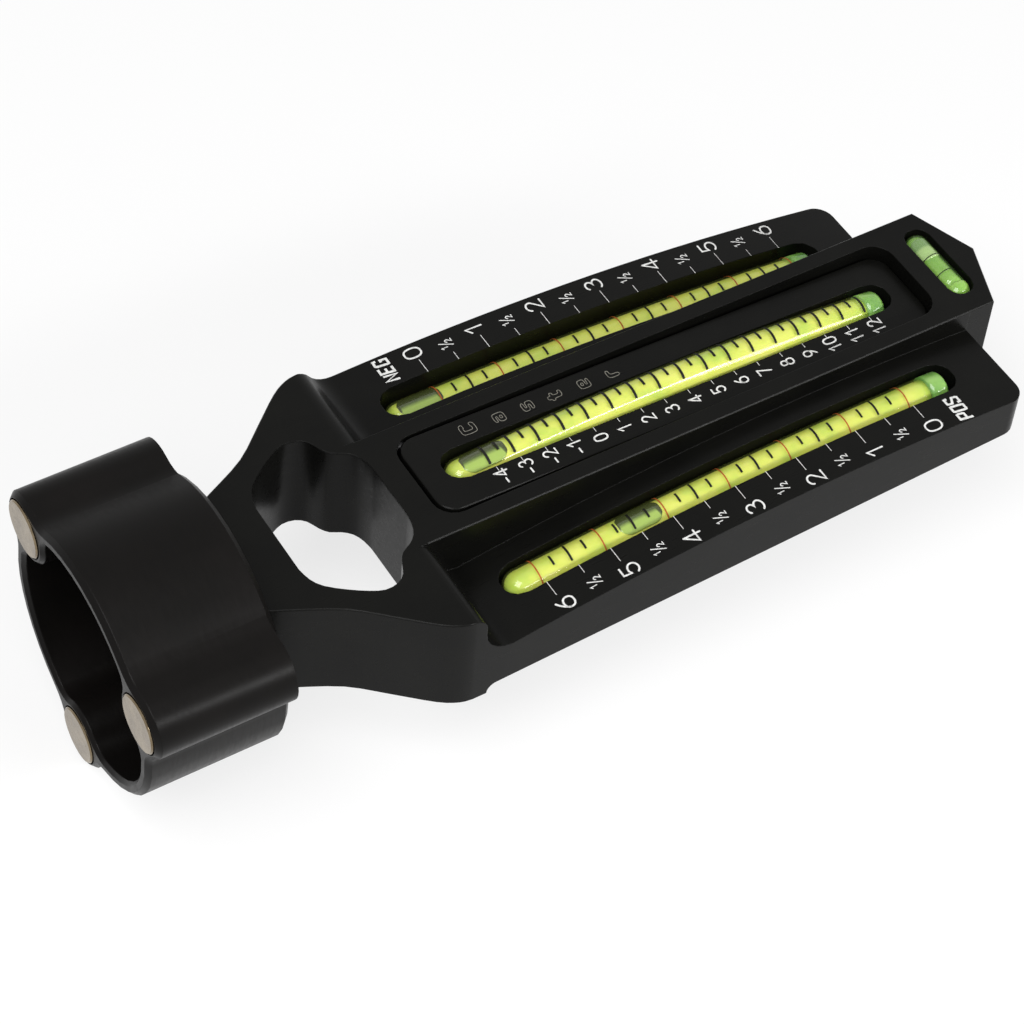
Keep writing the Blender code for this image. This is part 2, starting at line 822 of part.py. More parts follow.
def make_bubble(name, hub, centre, bend, place_share, room_end, y, apex_x):
    """A bubble under the roof of a bent vial, with its origin on the bend's axis."""
    bore = vial_radius - vial_wall
    rise = bore - seat_gap - bubble_radius
    first = vial_start_x + vial_shell + seat_gap
    travel = room_end - seat_gap - first - bubble_length
    start = first + travel * place_share
    path = bent_path(y, apex_x, centre.z + bend + rise, bend + rise)
    stations = domed_stations(path, start, start + bubble_length, bubble_radius, 3)
    stations = [(place - centre, radius) for place, radius in stations]
    settle(tube(stations, bubble_resolution), name + "_bubble", parts, bubble_clear, hub)


def make_cross_vial():
    """The cross-level vial with its closed end on the far side, and its bubble."""
    far_end = cross_vial_shift + cross_vial_length / 2
    height = top_z - cross_vial_depth

    def path(along):
        return Vector((cross_vial_x, far_end - along, height))

    room_end = make_vial(
        "cross", path, 0.0, cross_vial_length, cross_vial_radius,
        cross_plug_head_length, cross_vial_radius, cross_plug_spigot_length, swivel, 4,
    )
    radius = cross_vial_radius - shell_wall(cross_vial_radius) - 2 * seat_gap
    first = shell_end(cross_vial_radius) + 2 * seat_gap
    travel = room_end - 2 * seat_gap - first - cross_bubble_length
    middle = first + travel * cross_bubble_place_share + cross_bubble_length / 2
    half = cross_bubble_length / 2
    stations = domed_stations(lambda y: Vector((0.0, y, 0.0)), -half, half, radius, 3)
    bubble = tube(stations, bubble_resolution)
    bubble.location = path(middle) + Vector((0.0, 0.0, seat_gap))
    settle(bubble, "cross_bubble", parts, bubble_clear, swivel)


def make_carrier():
    """The castor carrier, in the frame of its hinge, with its vial, nut and bubble."""
    start_x = pocket_start_x + carrier_gap - hinge_x
    end_x = pocket_end_x - carrier_gap - hinge_x
    roof_z = hinge_depth + carrier_proud
    floor_z = roof_z - carrier_thickness
    outline = rounded_box(
        start_x, end_x, pocket_half_width - carrier_gap, pocket_corner_radius - carrier_gap, 5
    )
    carrier = plan_solid(outline, floor_z, roof_z, edge_chamfer)
    settle(carrier, "castor_carrier", parts, black_anodised, castor_hinge)
    apex_x = vial_middle_x + castor_apex_offset - hinge_x
    path = bent_path(0.0, apex_x, roof_z - castor_vial_depth, castor_tube_radius)
    start = vial_start_x - hinge_x
    end = vial_end_x - hinge_x
    slot = slot_cutter(
        path, start - seat_gap, end + seat_gap, vial_radius + seat_gap, roof_z + cut_overrun
    )
    combine(carrier, slot, "castor_slot")
    width = pocket_half_width
    hole = rod(hinge_pin_radius + seat_gap, (0.0, -width, 0.0), (0.0, width, 0.0), 16)
    combine(carrier, hole, "carrier_hinge_hole")
    x = adjuster_x - hinge_x
    y = adjuster_offset
    hole = rod(
        adjuster_screw_radius + adjuster_play,
        (x, y, floor_z - cut_overrun), (x, y, roof_z - adjuster_cover), 16,
    )
    combine(carrier, hole, "carrier_screw_hole")
    hole = rod(
        lift_nut_radius + seat_gap,
        (x, y, floor_z - cut_overrun), (x, y, floor_z + lift_nut_height + seat_gap), 20,
    )
    combine(carrier, hole, "lift_nut_seat")
    x = spring_x - hinge_x
    hole = rod(
        spring_radius + 2 * spring_wire_radius + seat_gap,
        (x, -y, floor_z - cut_overrun), (x, -y, floor_z + spring_hole_depth), 16,
    )
    combine(carrier, hole, "spring_seat")
    room_end = make_vial(
        "castor", path, start, end - plug_setback, vial_radius,
        plug_head_length, plug_dome_length, plug_spigot_length, castor_hinge, 16,
    )
    centre = Vector((apex_x, 0.0, roof_z - castor_vial_depth - castor_tube_radius))
    hub = make_empty("castor_bubble_axis", centre, castor_hinge)
    make_castor_bubble(hub, centre, room_end, apex_x)
    inner = adjuster_screw_radius + adjuster_play
    profile = [
        (inner, lift_nut_height), (lift_nut_radius, lift_nut_height),
        (lift_nut_radius, 0.0), (inner, 0.0), (inner, lift_nut_height),
    ]
    nut = turned(profile, 20)
    nut.location = (adjuster_x - hinge_x, y, floor_z)
    settle(nut, "lift_nut", parts, brass, castor_hinge)


def make_castor_bubble(hub, centre, room_end, apex_x):
    bore = vial_radius - vial_wall
    rise = bore - seat_gap - bubble_radius
    first = vial_start_x - hinge_x + vial_shell + seat_gap
    travel = room_end - seat_gap - first - bubble_length
    start = first + travel * castor_bubble_place_share
    path = bent_path(0.0, apex_x, centre.z + castor_tube_radius + rise, castor_tube_radius + rise)
    stations = domed_stations(path, start, start + bubble_length, bubble_radius, 3)
    stations = [(place - centre, radius) for place, radius in stations]
    settle(tube(stations, bubble_resolution), "castor_bubble", parts, bubble_clear, hub)


def make_hinge_pin():
    blind_y = -pocket_half_width - hinge_pin_bite
    pin = rod(hinge_pin_radius, (0.0, blind_y, 0.0), (0.0, spine_half_width - seat_gap, 0.0), 16)
    pin.location = (hinge_x, 0.0, hinge_z)
    settle(pin, "hinge_pin", parts, steel, swivel)


def make_adjuster():
    """Captive thumb screw under the tail: rod with a collar above the floor, and its knob."""
    shaft = make_empty("adjuster_axis", (adjuster_x, adjuster_offset, 0.0), swivel)
    collar_low_z = pocket_floor_z + seat_gap
    collar_high_z = collar_low_z + collar_height
    knob_top_z = bottom_z - seat_gap
    rod_low_z = knob_top_z - knob_height
    screw_top_z = top_z - adjuster_top_depth
    profile = [
        (0.0, screw_top_z), (adjuster_screw_radius - seat_gap, screw_top_z),
        (adjuster_screw_radius, screw_top_z - seat_gap), (adjuster_screw_radius, collar_high_z),
        (collar_radius, collar_high_z), (collar_radius, collar_low_z),
        (adjuster_screw_radius, collar_low_z), (adjuster_screw_radius, rod_low_z),
        (0.0, rod_low_z),
    ]
    screw = turned(profile, 16)
    settle(screw, "adjuster_screw", parts, steel, shaft)
    make_knob(shaft, knob_top_z)


def make_knob(shaft, knob_top_z):
    """Knurled thumb knob: a fluted wheel under a narrower neck, bored for the rod."""
    outline = []
    for index in range(knob_knurl_count * 2):
        angle = math.pi * index / knob_knurl_count
        radius = knob_radius - (knob_knurl_depth if index % 2 else 0.0)
        outline.append((radius * math.cos(angle), radius * math.sin(angle)))
    wheel_top_z = knob_top_z - knob_neck_height
    knob = plan_solid(outline, knob_top_z - knob_height, wheel_top_z, edge_chamfer)
    settle(knob, "adjuster_knob", parts, black_anodised, shaft)
    neck = rod(
        knob_neck_radius, (0.0, 0.0, wheel_top_z - edge_chamfer), (0.0, 0.0, knob_top_z), 24
    )
    combine(knob, neck, "knob_neck", "UNION")
    bore = rod(
        adjuster_screw_radius + seat_gap,
        (0.0, 0.0, knob_top_z - knob_height - cut_overrun), (0.0, 0.0, knob_top_z + cut_overrun), 16,
    )
    combine(knob, bore, "knob_bore")


def make_spring():
    """Compression spring between the pocket's floor and the carrier."""
    low_z = pocket_floor_z + seat_gap + spring_wire_radius
    lever = spring_x - hinge_x
    sunk = lever * math.sin(math.radians(carrier_tilt_deg))
    roof_z = top_z + carrier_proud - carrier_thickness - sunk + spring_hole_depth
    high_z = roof_z - seat_gap - spring_wire_radius
    points_per_turn = 9
    count = spring_turns * points_per_turn
    stations = []
    for index in range(count + 1):
        angle = 2 * math.pi * index / points_per_turn
        place = Vector((
            spring_radius * math.cos(angle), spring_radius * math.sin(angle),
            low_z + (high_z - low_z) * index / count,
        ))
        stations.append((place, spring_wire_radius))
    spring = tube(stations, 1)
    spring.location = (spring_x, -adjuster_offset, 0.0)
    settle(spring, "carrier_spring", parts, steel, swivel)


# Points closer than this are one point
weld_distance = seat_gap / 300

clear_scene()
parts = make_collection("camber_gauge")
cutters = make_collection("cutters")

# Finishes
black_anodised = make_material("black_anodised", (0.018, 0.018, 0.019), 0.6, 0.42)
black_adapter = make_material("black_adapter", (0.02, 0.02, 0.022), 0.6, 0.38)
nickel = make_material("nickel", (0.62, 0.58, 0.5), 1.0, 0.35)
steel = make_material("steel", (0.5, 0.5, 0.5), 1.0, 0.35)
dark_steel = make_material("dark_steel", (0.05, 0.05, 0.05), 0.9, 0.4)
brass = make_material("brass", (0.6, 0.45, 0.2), 1.0, 0.35)
nylon = make_material("nylon", (0.04, 0.04, 0.04), 0.0, 0.6)
vial_green = make_material("vial_green", (0.55, 0.75, 0.06), 0.0, 0.08, 0.3)
plug_green = make_material("plug_green", (0.4, 0.65, 0.12), 0.0, 0.15, 0.3)
bubble_clear = make_material("bubble_clear", (0.5, 0.6, 0.3), 0.0, 0.1, 0.5)

# Joint axes
swivel = make_empty("swivel_axis", (0.0, 0.0, 0.0))
tilt = math.radians(carrier_tilt_deg)
castor_hinge = make_empty("castor_hinge_axis", (hinge_x, 0.0, hinge_z), swivel, (0.0, tilt, 0.0))

# Paths of the vials held by the body
near_zero_x = vial_middle_x + camber_zero_offset
far_zero_x = vial_middle_x - camber_zero_offset
near_path = bent_path(-vial_row_offset, near_zero_x, top_z - near_vial_depth, camber_tube_radius)
far_path = bent_path(vial_row_offset, far_zero_x, top_z - far_vial_depth, camber_tube_radius)

gauge_body = make_body()
cut_body_details(gauge_body)
make_adapter()
make_magnets()
make_swivel_screw()
make_camber_vials()
make_cross_vial()
make_carrier()
make_hinge_pin()
make_adjuster()
make_spring()

for piece in parts.objects:
    if piece.type == "MESH":
        shade_round(piece)
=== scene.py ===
"""Looks of the magnetic camber and castor gauge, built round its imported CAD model."""

import math

import bmesh
import bpy
from mathutils import Matrix, Vector


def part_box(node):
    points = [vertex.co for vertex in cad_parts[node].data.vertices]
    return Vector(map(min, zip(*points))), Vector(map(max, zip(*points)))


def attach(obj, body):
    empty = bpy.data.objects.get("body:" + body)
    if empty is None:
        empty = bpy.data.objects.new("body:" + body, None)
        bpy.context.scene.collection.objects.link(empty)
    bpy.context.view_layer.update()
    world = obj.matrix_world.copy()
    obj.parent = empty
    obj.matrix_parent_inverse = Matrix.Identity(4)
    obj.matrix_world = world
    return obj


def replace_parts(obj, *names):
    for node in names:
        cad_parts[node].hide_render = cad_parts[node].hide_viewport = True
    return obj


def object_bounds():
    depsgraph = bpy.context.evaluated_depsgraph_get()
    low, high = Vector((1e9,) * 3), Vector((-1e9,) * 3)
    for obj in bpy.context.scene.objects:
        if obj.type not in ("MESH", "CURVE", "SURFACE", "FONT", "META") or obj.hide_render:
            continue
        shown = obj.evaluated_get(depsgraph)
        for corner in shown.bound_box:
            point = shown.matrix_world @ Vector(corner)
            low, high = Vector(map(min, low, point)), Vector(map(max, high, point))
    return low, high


MM = 0.001

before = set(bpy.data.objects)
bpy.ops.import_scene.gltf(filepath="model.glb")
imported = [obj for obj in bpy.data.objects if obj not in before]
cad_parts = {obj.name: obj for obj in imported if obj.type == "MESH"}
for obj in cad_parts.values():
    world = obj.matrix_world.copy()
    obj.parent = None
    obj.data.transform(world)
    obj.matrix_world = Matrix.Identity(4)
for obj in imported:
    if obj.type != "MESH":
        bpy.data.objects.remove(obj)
cad_low, cad_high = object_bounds()

# The gauge's own sizes and places that the glass and the print follow, in millimetres
TOP_Z = 12.85
WING_DROP = 4.707
WING_BEND = 575.5
CROWN_X = {"near": 170.58, "far": 104.28}
SIDE = {"near": -1, "far": 1}
ZERO_X = {"near": 183.78, "far": 97.17}
DEGREE_STEP = 15.3215
VIAL_Y = 24.65
VIAL_BEND = 878.0
VIAL_TOP_X = {"near": 183.75, "far": 97.15}
VIAL_AXIS_Z = {"near": 4.15, "far": 1.85}
VIAL_RADIUS = 3.9
PLUG_START, PLUG_TIP = 190.5, 195.4
HINGE = Vector((81.05, 0.0, 9.65))
TILT_DEG = 1.53
CARRIER_TOP = 3.35
CASTOR_TOP_X = 62.9
CASTOR_AXIS_Z = 2.25
CASTOR_BEND = 500.0
CASTOR_ZERO_X = 117.62
CASTOR_STEP = 5.948

# Glass, liquid and plugs, in millimetres; the glass that shows starts at VIAL_START
VIAL_START = 84.4
GLASS_WALL = 0.5
LIQUID_GAP = 0.1
PLUG_DOME = 1.7
PLUG_SEAM = 0.3
PLUG_GAP = 0.05
CROSS_WALL = 0.45
TINY = 1e-6

# The air in the vials, in millimetres
BUBBLE_HALF_WIDTH = 2.75
BUBBLE_SKIN = 0.02
BUBBLE_TIP_DROP = 0.55
BUBBLE_END_DROP = 0.45
BUBBLE_SAG = 0.7
SMALLEST_SWELL = 0.02
CROSS_AIR_SKIN = 0.2
CROSS_AIR_TIP_DROP = 0.4
CROSS_AIR_LEVEL = 0.6
CROSS_AIR_SAG = 0.3
CROSS_AIR_WIDTH_SHARE = 0.98

# Print on the metal, in millimetres; an advance or slant is a share of the letter's height
PRINT_LIFT = 0.03
PRINT_DEPTH = 0.02
CAMBER_DEGREES = 6
TICK_WIDTH = 0.13
TICK_START = 28.8
WHOLE_TICK_END = 32.7
HALF_TICK_END = 31.1
DIGIT_ROW = {"near": 35.5, "far": 35.0}
DIGIT_SHIFT = {"near": 0.5, "far": -0.3}
DIGIT_HEIGHT = 3.9
DIGIT_STROKE = 0.42
DIGIT_STRETCH = 1.3
HALF_SIGN_INSET = 1.2
HALF_SIGN_HEIGHT = 2.9
HALF_SIGN_STROKE = 0.24
# Word, x and y of its middle
SIGN_WORD = {"near": ("POS", 192.15, -33.7), "far": ("NEG", 89.53, 33.6)}
SIGN_WORD_HEIGHT = 3.1
SIGN_WORD_STROKE = 0.56
SIGN_WORD_ADVANCE = 0.77
SIGN_WORD_SLANT = 0.12
CASTOR_FIRST, CASTOR_LAST = -4, 12
CASTOR_TICK = (-4.35, -5.55)
CASTOR_DIGIT_ROW = -7.4
CASTOR_DIGIT_HEIGHT = 3.05
CASTOR_DIGIT_STROKE = 0.38
CASTOR_DIGIT_ADVANCE = 0.74
OUTLINE_WORD_START = 94.0
OUTLINE_WORD_STEP = 7.03
OUTLINE_WORD_ROW = 7.4
OUTLINE_WORD_SIZE = 3.6
OUTLINE_WORD_STROKE = 0.12

# Lines round the tubes: widths in millimetres, reaches in degrees from the top
RED_LINE_WIDTH = 0.3
RED_LINE_REACH = (-66, 66)
BLACK_LINE_WIDTH = 0.5
HALF_LINE_REACH = (-26, 36)
QUARTER_LINE_REACH = (-14, 22)
CASTOR_LINE_WIDTH = 0.6
CASTOR_LINE_REACH = (-56, 42)
CASTOR_HALF_LINE_REACH = (-28, 12)
CROSS_LINE_PLACES = (-2.8, 2.4)
CROSS_LINE_WIDTH = 0.2
CROSS_LINE_REACH = (-60, 60)

# Finish
ANODISED_GLOSS = 0.1
EDGE_RADIUS = 0.3 * MM
METAL_MARKS_SCALE = 900.0
# Painted glow of the liquid: light given off by its own colour, in place of fluorescence
FLUID_PAINTED_GLOW = 0.06
SHARP_DEG = 31.0
WELD_DISTANCE = 0.001 * MM
LARGE_FACE_WEIGHT = 90

# Floor and light; a lamp has its place, width, height (metres) and power (watts)
FLOOR_GAP = 0.4 * MM
FLOOR_REACH = 3.0
FLOOR_GLOW_SHARE = 0.75
WORLD_LEVEL = 0.22
LAMP_TARGET = (0.1, 0.0, 0.0)
LAMPS = {
    "key": ((-0.45, -0.3, 1.0), 0.8, 0.8, 13.5),
    "front": ((0.445, -0.943, 0.552), 0.6, 0.13, 5.5),
    "side": ((0.86, -0.79, 0.37), 0.5, 0.32, 5.0),
}


# Small helpers for nodes and meshes


def linear(*rgb):
    """An sRGB colour given in 0 to 255 as linear values."""
    out = []
    for value in rgb:
        share = value / 255
        out.append(share / 12.92 if share <= 0.04045 else ((share + 0.055) / 1.055) ** 2.4)
    return tuple(out) + (1.0,)


class Nodes:
    """A short way to build a node material."""

    def __init__(self, name):
        self.material = bpy.data.materials.new(name)
        self.material.use_nodes = True
        self.tree = self.material.node_tree
        self.tree.nodes.clear()
        self.output = self.add("ShaderNodeOutputMaterial")
        self.coords = self.add("ShaderNodeTexCoord")

    def add(self, kind, **settings):
        node = self.tree.nodes.new(kind)
        for key, value in settings.items():
            setattr(node, key, value)
        return node

    def link(self, source, target):
        self.tree.links.new(source, target)

    def shader(self, **sockets):
        node = self.add("ShaderNodeBsdfPrincipled")
        for key, value in sockets.items():
            node.inputs[key.replace("_", " ")].default_value = value
        self.link(node.outputs[0], self.output.inputs["Surface"])
        return node

    def stretched(self, scale):
        """Object coordinates, scaled on each axis."""
        mapping = self.add("ShaderNodeMapping")
        mapping.inputs["Scale"].default_value = scale
        self.link(self.coords.outputs["Object"], mapping.inputs["Vector"])
        return mapping.outputs[0]

    def place_in_box(self):
        """Sockets X, Y and Z: the place in the piece's own box, 0 to 1."""
        split = self.add("ShaderNodeSeparateXYZ")
        self.link(self.coords.outputs["Generated"], split.inputs[0])
        return split.outputs

    def noise(self, scale, detail, rough, stretch=(1.0, 1.0, 1.0)):
        node = self.add("ShaderNodeTexNoise")
        node.inputs["Scale"].default_value = scale
        node.inputs["Detail"].default_value = detail
        node.inputs["Roughness"].default_value = rough
        self.link(self.stretched(stretch), node.inputs["Vector"])
        return node.outputs["Fac"]

    def ramp(self, source, *stops):
        """Colour stops over a value: (position, linear colour) each."""
        node = self.add("ShaderNodeValToRGB")
        elements = node.color_ramp.elements
        while len(elements) < len(stops):
            elements.new(0.5)
        for element, (position, colour) in zip(elements, stops):
            element.position = position
            element.color = colour
        self.link(source, node.inputs["Fac"])
        return node.outputs["Color"]

    def spread(self, source, low, high):
        """Noise, which mostly lies between a quarter and three quarters, spread to a range."""
        node = self.add("ShaderNodeMapRange")
        node.inputs["From Min"].default_value = 0.25
        node.inputs["From Max"].default_value = 0.75
        node.inputs["To Min"].default_value = low
        node.inputs["To Max"].default_value = high
        self.link(source, node.inputs["Value"])
        return node.outputs[0]

    def bump(self, source, strength, distance, shader, edge_radius=None):
        """Relief from a value; with an edge radius, edges also catch light as if rounded."""
        node = self.add("ShaderNodeBump")
        node.inputs["Strength"].default_value = strength
        node.inputs["Distance"].default_value = distance
        self.link(source, node.inputs["Height"])
        if edge_radius:
            edge = self.add("ShaderNodeBevel", samples=6)
            edge.inputs["Radius"].default_value = edge_radius
            self.link(edge.outputs[0], node.inputs["Normal"])
        self.link(node.outputs[0], shader.inputs["Normal"])


def grey(value):
    """A linear grey."""
    return (value, value, value, 1.0)


def anodised(name, low, high, rough_low, rough_high, stretch):
    """Fine matt black anodised metal with a trace of the cutter's marks."""
    n = Nodes(name)
    shader = n.shader(Metallic=0.0, IOR=1.5, Specular_IOR_Level=ANODISED_GLOSS)
    broad = n.noise(scale=60.0, detail=4.0, rough=0.6)
    n.link(n.ramp(broad, (0.3, low), (0.7, high)), shader.inputs["Base Color"])
    marks = n.noise(METAL_MARKS_SCALE, detail=3.0, rough=0.6, stretch=stretch)
    n.link(n.spread(marks, rough_low, rough_high), shader.inputs["Roughness"])
    grain = n.noise(scale=5200.0, detail=2.0, rough=0.5)
    n.bump(grain, 0.12, 0.04 * MM, shader, EDGE_RADIUS)
    return n.material


def bright_metal(name, low, high, rough_low, rough_high, stretch):
    """Bare or plated metal with fine marks drawn out along the given axes."""
    n = Nodes(name)
    shader = n.shader(Metallic=1.0)
    broad = n.noise(scale=220.0, detail=4.0, rough=0.6)
    n.link(n.ramp(broad, (0.3, low), (0.7, high)), shader.inputs["Base Color"])
    marks = n.noise(METAL_MARKS_SCALE, detail=4.0, rough=0.6, stretch=stretch)
    n.link(n.spread(marks, rough_low, rough_high), shader.inputs["Roughness"])
    n.bump(marks, 0.05, 0.01 * MM, shader)
    return n.material


def fluid(name, light, deep, patch, scale=170.0):
    """The bright liquid in a vial, mottled and greener at its ends, with a faint painted glow that stands
    in for its fluorescence and brightens it where it lies in shade.
    """
    n = Nodes(name)
    shader = n.shader(Roughness=0.12, IOR=1.45, Coat_Weight=0.3, Coat_Roughness=0.04)
    shader.inputs["Subsurface Weight"].default_value = 0.25
    shader.inputs["Subsurface Radius"].default_value = (0.003, 0.004, 0.001)
    shader.inputs["Subsurface Scale"].default_value = 0.5
    cloud = n.noise(scale, detail=3.0, rough=0.55, stretch=(0.6, 1.0, 1.0))
    along = n.place_in_box()["X"]
    ends = n.ramp(along, (0.0, grey(0.0)), (0.05, grey(1.0)), (0.95, grey(1.0)), (1.0, grey(0.0)))
    tint = n.add("ShaderNodeMix", data_type="RGBA")
    factor, end_colour, middle_colour = (tint.inputs[place] for place in (0, 6, 7))
    n.link(ends, factor)
    end_colour.default_value = patch
    n.link(n.ramp(cloud, (0.3, patch), (0.5, light), (0.72, deep)), middle_colour)
    colour = tint.outputs[2]
    n.link(colour, shader.inputs["Base Color"])
    # Painted glow: the liquid's colour is also given off as light, so it stays bright in shade
    n.link(colour, shader.inputs["Emission Color"])
    shader.inputs["Emission Strength"].default_value = FLUID_PAINTED_GLOW
    return n.material


def clear_shell(name, colour, alpha):
    """Glossy see-through tube wall."""
    n = Nodes(name)
    shader = n.shader(Base_Color=colour, Alpha=alpha, IOR=1.5, Coat_Weight=1.0, Coat_Roughness=0.02)
    streaks = n.noise(scale=400.0, detail=2.0, rough=0.5, stretch=(0.1, 1.0, 1.0))
    n.link(n.spread(streaks, low=0.03, high=0.07), shader.inputs["Roughness"])
    return n.material


def bubble_look(name, dark, mid, light):
    """Air in the liquid, coloured with painted shade and light: dark along its far side and at its ends,
    lighter along its near side, as refraction through the liquid shades it.
    """
    n = Nodes(name)
    shader = n.shader(Roughness=0.08, IOR=1.35, Coat_Weight=0.6, Coat_Roughness=0.03)
    place = n.place_in_box()
    ends = n.ramp(
        place["X"], (0.0, grey(0.4)), (0.07, grey(0.0)), (0.86, grey(0.0)), (0.97, grey(0.6))
    )
    # Painted shade: the colour darkens towards the far side and the ends of the bubble
    shade = n.add("ShaderNodeMath", operation="ADD")
    n.link(place["Y"], shade.inputs[0])
    n.link(ends, shade.inputs[1])
    colour = n.ramp(shade.outputs[0], (0.34, light), (0.5, mid), (0.62, dark))
    n.link(colour, shader.inputs["Base Color"])
    return n.material


def ink(name, low, high):
    """Matt printing ink, slightly worn."""
    n = Nodes(name)
    shader = n.shader(Roughness=0.55, IOR=1.45, Specular_IOR_Level=0.25)
    wear = n.noise(scale=1500.0, detail=4.0, rough=0.7)
    n.link(n.ramp(wear, (0.32, low), (0.55, high)), shader.inputs["Base Color"])
    n.bump(wear, 0.1, 0.02 * MM, shader)
    return n.material


LOOKS = {
    "black_anodised": anodised(
        "black_anodised", linear(9, 9, 8), linear(14, 14, 12), 0.25, 0.35, (0.15, 1.0, 1.0)
    ),
    "black_adapter": anodised(
        "black_adapter", linear(10, 9, 8), linear(15, 13, 12), 0.3, 0.4, (2.0, 0.3, 0.3)
    ),
    "nickel": bright_metal(
        "nickel", linear(112, 98, 78), linear(142, 128, 104), 0.18, 0.3, (1.0, 1.0, 1.0)
    ),
    "steel": bright_metal(
        "steel", linear(170, 170, 172), linear(196, 196, 198), 0.22, 0.36, (0.2, 1.0, 1.0)
    ),
    "dark_steel": bright_metal(
        "dark_steel", linear(70, 70, 73), linear(98, 98, 102), 0.28, 0.42, (1.0, 1.0, 0.2)
    ),
    "brass": bright_metal(
        "brass", linear(196, 162, 92), linear(218, 186, 118), 0.22, 0.36, (1.0, 1.0, 0.2)
    ),
    "nylon": ink("nylon", linear(196, 194, 186), linear(226, 224, 216)),
    "vial_fluid": fluid(
        "vial_fluid", linear(204, 211, 92), linear(215, 217, 108), linear(174, 198, 80)
    ),
    "cross_fluid": fluid(
        "cross_fluid", linear(136, 180, 82), linear(148, 190, 92), linear(116, 162, 72)
    ),
    "plug_look": fluid(
        "plug_look", linear(118, 164, 80), linear(142, 184, 96), linear(92, 142, 66), 260.0
    ),
    "shell": clear_shell("shell", linear(208, 226, 120), 0.07),
    "green_shell": clear_shell("green_shell", linear(130, 180, 90), 0.15),
    # The bubbles' dark, mid and light colours are painted shade and light across each bubble
    "bubble_air": bubble_look(
        "bubble_air", linear(26, 34, 22), linear(60, 78, 40), linear(150, 176, 84)
    ),
    "cross_air": bubble_look(
        "cross_air", linear(120, 150, 96), linear(170, 196, 130), linear(176, 204, 134)
    ),
    "print_white": ink("print_white", linear(188, 188, 186), linear(226, 226, 224)),
    "print_black": ink("print_black", linear(8, 9, 6), linear(17, 18, 11)),
    "print_grey": ink("print_grey", linear(104, 102, 94), linear(142, 140, 130)),
    "print_red": ink("print_red", linear(150, 70, 32), linear(172, 88, 40)),
}

SLOT_OF = {
    "vial_fluid": "vial_green", "cross_fluid": "vial_green", "shell": "vial_green",
    "green_shell": "vial_green", "plug_look": "plug_green", "bubble_air": "bubble_clear",
    "cross_air": "bubble_clear",
}


def add_piece(name, mesh, look, body, smooth=True, slot=None):
    """Puts a mesh in the scene as a piece that rides on a body."""
    piece = bpy.data.objects.new(name, mesh)
    bpy.context.scene.collection.objects.link(piece)
    mesh.materials.append(LOOKS[look])
    if smooth:
        mesh.shade_smooth()
    else:
        mesh.shade_flat()
    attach(piece, body)
    slot = slot or SLOT_OF.get(look)
    return piece


def mesh_from(name, points, faces):
    """A mesh from points in millimetres, with its faces turned outwards."""
    mesh = bpy.data.meshes.new(name)
    mesh.from_pydata([Vector(p) * MM for p in points], [], faces)
    work = bmesh.new()
    work.from_mesh(mesh)
    bmesh.ops.recalc_face_normals(work, faces=work.faces)
    work.to_mesh(mesh)
    work.free()
    return mesh


def lofted(name, rings):
    """A closed body through rings of equally many points; a ring of one point is a tip."""
    points, starts = [], []
    for ring in rings:
        starts.append(len(points))
        points += [tuple(p) for p in ring]
    faces = []
    for index in range(len(rings) - 1):
        a, b = rings[index], rings[index + 1]
        low, high = starts[index], starts[index + 1]
        count = max(len(a), len(b))
        for step in range(count):
            after = (step + 1) % count
            if len(a) == 1:
                faces.append((low, high + step, high + after))
            elif len(b) == 1:
                faces.append((low + step, low + after, high))
            else:
                faces.append((low + step, low + after, high + after, high + step))
    if len(rings[0]) > 2:
        faces.append(tuple(range(len(rings[0]))))
    if len(rings[-1]) > 2:
        faces.append(tuple(starts[-1] + i for i in range(len(rings[-1]))))
    return mesh_from(name, points, faces)


# Frames of the vials: a place along x gives the axis point and the tube's upward direction


def bent_axis(y, top_x, axis_z, bend):
    """A vial's bent axis, level at top_x and falling away on either side."""
    def path(x):
        off = x - top_x
        rise = math.sqrt(bend * bend - off * off)
        up = Vector((off / bend, 0.0, rise / bend))
        return Vector((x, y, axis_z - bend + rise)), up

    return path


def tilted(path):
    """A path in the hinge's frame, turned into the gauge's frame."""
    turn = Matrix.Rotation(math.radians(TILT_DEG), 3, "Y")

    def turned(x):
        place, up = path(x - HINGE.x)
        return HINGE + turn @ place, turn @ up

    return turned


PATHS = {
    "near": bent_axis(-VIAL_Y, VIAL_TOP_X["near"], VIAL_AXIS_Z["near"], VIAL_BEND),
    "far": bent_axis(VIAL_Y, VIAL_TOP_X["far"], VIAL_AXIS_Z["far"], VIAL_BEND),
    "castor": tilted(bent_axis(0.0, CASTOR_TOP_X, CASTOR_AXIS_Z, CASTOR_BEND)),
}


def around(path, x, radius, angle, along=0.0):
    """A point on a tube: angle 0 is the top, positive angles lean to the near side."""
    place, up = path(x)
    side = Vector((0.0, -1.0, 0.0))
    forward = Vector((up.z, 0.0, -up.x))
    out = up * (radius * math.cos(angle)) + side * (radius * math.sin(angle))
    return place + out + forward * along


def tube_rings(path, start, end, radius, cap_start, cap_end):
    """Rings of a tube along a path, with ends rounded over the given lengths."""
    rings = []
    turns, step, cap_steps = 40, 2.0, 7

    def ring(x, r):
        if r < TINY:
            return [path(x)[0]]
        return [around(path, x, r, 2 * math.pi * i / turns) for i in range(turns)]

    if cap_start:
        for i in range(cap_steps):
            lean = math.pi / 2 * i / cap_steps
            rings.append(ring(start + cap_start * (1 - math.cos(lean)), radius * math.sin(lean)))
    first, last = start + cap_start, end - cap_end
    count = max(1, round((last - first) / step))
    for i in range(count + 1):
        rings.append(ring(first + (last - first) * i / count, radius))
    if cap_end:
        for i in range(cap_steps - 1, -1, -1):
            lean = math.pi / 2 * i / cap_steps
            rings.append(ring(end - cap_end * (1 - math.cos(lean)), radius * math.sin(lean)))
    return rings


